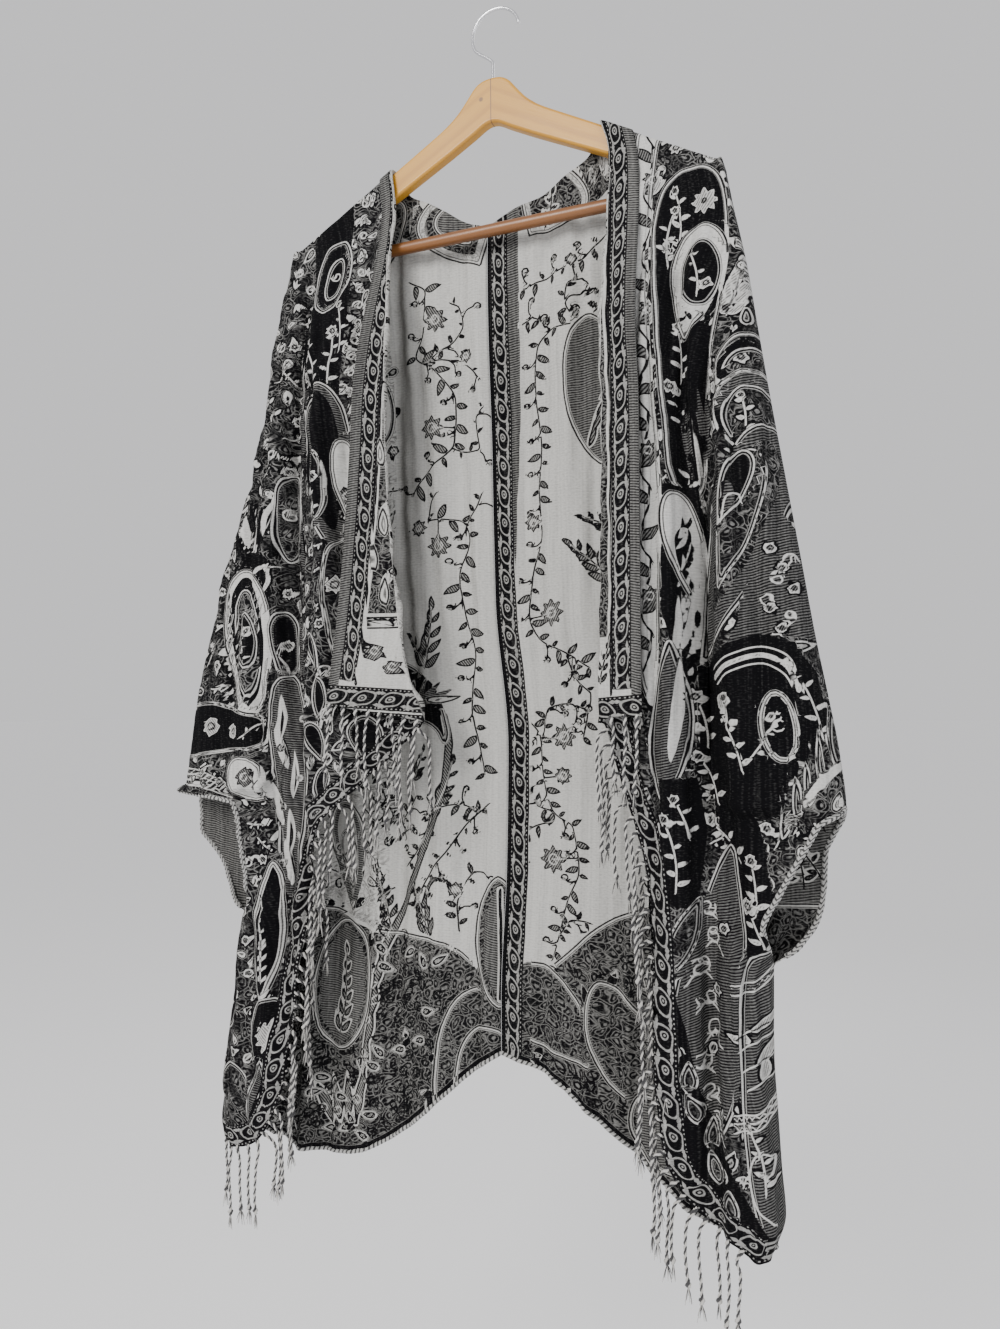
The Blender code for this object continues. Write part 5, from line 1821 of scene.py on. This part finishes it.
def build_wood(mat):
    """The two arms in one flat piece with rounded edges, smoother than the frame's."""
    half = hanger_outline()
    outline = half + [(0.0, -0.1157)] + [(-x, z) for x, z in half[1:]][::-1]
    points = np.array(outline)
    for _ in range(2):
        after = np.roll(points, -1, axis=0)
        # Corners are cut twice, but only by 3 mm at most, so the long straight sides stay where they are.
        gap = np.linalg.norm(after - points, axis=1, keepdims=True)
        cut = np.minimum(0.25, 0.003 / gap)
        points = np.stack((points + (after - points) * cut, after + (points - after) * cut),
                          axis=1).reshape(-1, 2)
    bm = bmesh.new()
    front = [bm.verts.new((x, -WOOD_HALF, z)) for x, z in points]
    face = bm.faces.new(front)
    made = bmesh.ops.extrude_face_region(bm, geom=[face])
    bmesh.ops.translate(bm, vec=(0, 2 * WOOD_HALF, 0),
                        verts=[g for g in made["geom"] if isinstance(g, bmesh.types.BMVert)])
    bmesh.ops.recalc_face_normals(bm, faces=bm.faces[:])
    mesh = bpy.data.meshes.new("wood")
    bm.to_mesh(mesh)
    bm.free()
    mesh.materials.append(mat)
    mesh.shade_smooth()
    obj = new_object("hanger_wood", mesh)
    rounding = obj.modifiers.new("rounding", "BEVEL")
    rounding.width = 0.0032
    rounding.segments = 4
    rounding.limit_method = "ANGLE"
    rounding.angle_limit = math.radians(50)
    rounding.harden_normals = False
    weighted = obj.modifiers.new("weighted", "WEIGHTED_NORMAL")
    weighted.keep_sharp = True
    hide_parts("hanger_arms")
    return obj


def build_bar(mat):
    ends = np.linspace(-(BAR_SEAT - GAP), BAR_SEAT - GAP, 30)
    path = np.stack((ends, 0 * ends, 0 * ends + BAR_Z), axis=1)
    verts, faces = tube([path], BAR_RADIUS, 32)
    obj = new_object("hanger_dowel", mesh_from("hanger_dowel", verts, faces, [mat]))
    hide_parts("hanger_bar")
    return obj


def build_hook(mat):
    radius = HOOK_INNER + HOOK_WIRE
    points = []
    for angle in np.radians(np.linspace(HOOK_TIP, HOOK_TURN, 15)):
        points.append((HOOK_SHIFT + radius * math.cos(angle), 0, -HOOK_INNER + radius * math.sin(angle)))
    leave_x, leave_z = points[-1][0], points[-1][2]
    neck_z = leave_z - 0.019
    for share in (0.25, 0.5, 0.75, 1.0):
        bend = float(smooth(share)) * 0.6 + share * 0.4
        points.append((leave_x * (1 - bend), 0, leave_z + (neck_z - leave_z) * share))
    points += [(0.0, 0, WOOD_TOP + 0.002), (0.0, 0, STEM_FOOT)]
    points = np.array(points)
    keys = run_of(points)
    path = spline(keys, points, np.linspace(0, keys[-1], 120))
    verts, faces = tube([path], HOOK_WIRE, 16)
    tip = path[0]
    v, f = tube([[tip + (0, 0, -0.0018), tip + (0, 0, -0.0012), tip, tip + (0, 0, 0.001)]],
                np.array([0.0006, 0.0015, 0.0017, 0.0015]), 12)
    faces += [tuple(k + len(verts) for k in face) for face in f]
    verts += v
    obj = new_object("hanger_wire", mesh_from("hanger_wire", verts, faces, [mat]))
    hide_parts("hanger_hook")
    return obj


# ---------------------------------------------------------------- stage, light and view
def build_stage():
    mesh = bpy.data.meshes.new("floor")
    mesh.from_pydata([(x * FLOOR_HALF, y * FLOOR_HALF, FLOOR_Z) for x,
                      y in ((-1, -1), (1, -1), (1, 1), (-1, 1))],
                     [], [(0, 1, 2, 3)])
    floor = bpy.data.objects.new("floor", mesh)
    bpy.context.scene.collection.objects.link(floor)
    mat = bpy.data.materials.new("pale_floor")
    mat.use_nodes = True
    shader = mat.node_tree.nodes["Principled BSDF"]
    shader.inputs["Base Color"].default_value = (0.80, 0.80, 0.80, 1)
    # A faint glow makes up for the light that a small floor loses, so that no horizon shows.
    shader.inputs["Emission Color"].default_value = BACKGROUND
    shader.inputs["Emission Strength"].default_value = 0.185
    shader.inputs["Roughness"].default_value = 0.9
    mesh.materials.append(mat)
    world = bpy.data.worlds.new("studio")
    bpy.context.scene.world = world
    world.use_nodes = True
    back = world.node_tree.nodes["Background"]
    back.inputs["Color"].default_value = BACKGROUND
    back.inputs["Strength"].default_value = 0.94


def area_light(name, place, aim, size, power, colour=(1, 1, 1)):
    light = bpy.data.lights.new(name, "AREA")
    light.shape = "RECTANGLE"
    light.size, light.size_y = size
    light.energy = power
    light.color = colour
    obj = bpy.data.objects.new(name, light)
    bpy.context.scene.collection.objects.link(obj)
    obj.location = place
    obj.rotation_euler = (Vector(aim) - Vector(place)).to_track_quat("-Z", "Y").to_euler()


def build_camera():
    turn, pitch, roll = (math.radians(a) for a in (VIEW_TURN, VIEW_PITCH, VIEW_ROLL))
    ahead = Vector((-math.sin(turn) * math.cos(pitch), math.cos(turn) * math.cos(pitch), math.sin(pitch)))
    level = Vector((math.cos(turn), math.sin(turn), 0.0))
    up = level.cross(ahead)
    right = math.cos(roll) * level + math.sin(roll) * up
    top = -math.sin(roll) * level + math.cos(roll) * up
    data = bpy.data.cameras.new("view")
    data.sensor_fit = "VERTICAL"
    data.sensor_height = SENSOR
    data.lens = VIEW_LENS
    data.clip_start = 0.05
    camera = bpy.data.objects.new("view", data)
    bpy.context.scene.collection.objects.link(camera)
    camera.matrix_world = Matrix((
        (right.x, top.x, -ahead.x, VIEW_PLACE.x),
        (right.y, top.y, -ahead.y, VIEW_PLACE.y),
        (right.z, top.z, -ahead.z, VIEW_PLACE.z),
        (0, 0, 0, 1)))
    bpy.context.scene.camera = camera


# ---------------------------------------------------------------- the whole object
build_camera()
build_stage()
area_light("key", (-0.6, -2.6, 0.7), (0, 0, -0.6), (1.1, 1.1), 88, (1.0, 0.985, 0.96))
area_light("fill", (2.2, -1.4, -0.1), (0, 0, -0.7), (1.6, 1.6), 22, (0.95, 0.97, 1.0))
area_light("rear", (0.4, 2.2, 0.8), (0, 0, -0.6), (1.6, 1.6), 18)

LOOKS = looks()

grids = {}
for side in SIDES:
    grids["front_" + side] = Grid(front_stations(side), side, -1, (3, 6))
    grids["back_" + side] = Grid(back_stations(side), side, 1)
for side in SIDES:
    front, back = grids["front_" + side], grids["back_" + side]
    crease(front, CREASES[side])
    crease(back, BACK_CREASES[side])
    for grid in (front, back):
        round_tip(grid)
    ripple(front, 1.0, 1.0 if side == "left" else 4.0)
    ripple(back, 0.8, 2.0 if side == "left" else 5.5)

for name, grid in grids.items():
    part, side = name.split("_")
    cloth = shell("cloth_" + name, grid, draw_pattern(name, grid), [LOOKS["dark"], LOOKS["light"]])
    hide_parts(name)
    "cloth" if part == "front" else "cloth_back"
    if part == "front":
        trim = fringe("cords_" + side, grid, side, [LOOKS["cord_dark"], LOOKS["cord_light"]])
        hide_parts("fringe_" + side)
    else:
        lower = grid.points[:, -1] + grid.normals()[:, -1] * SHEET / 2
        trim = rolled_edge("hem_" + side, lower, 0.0021, LOOKS["overcast"])
    trims = [trim, cuff_roll(f"cuff_{part}_{side}", grid, LOOKS["overcast"])]
    for trim in trims:
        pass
    wide, tall = np.diff(grid.points, axis=0)[:, :-1], np.diff(grid.points, axis=1)[:-1]

build_wood(LOOKS["wood"])
build_bar(LOOKS["dowel"])
build_hook(LOOKS["steel"])
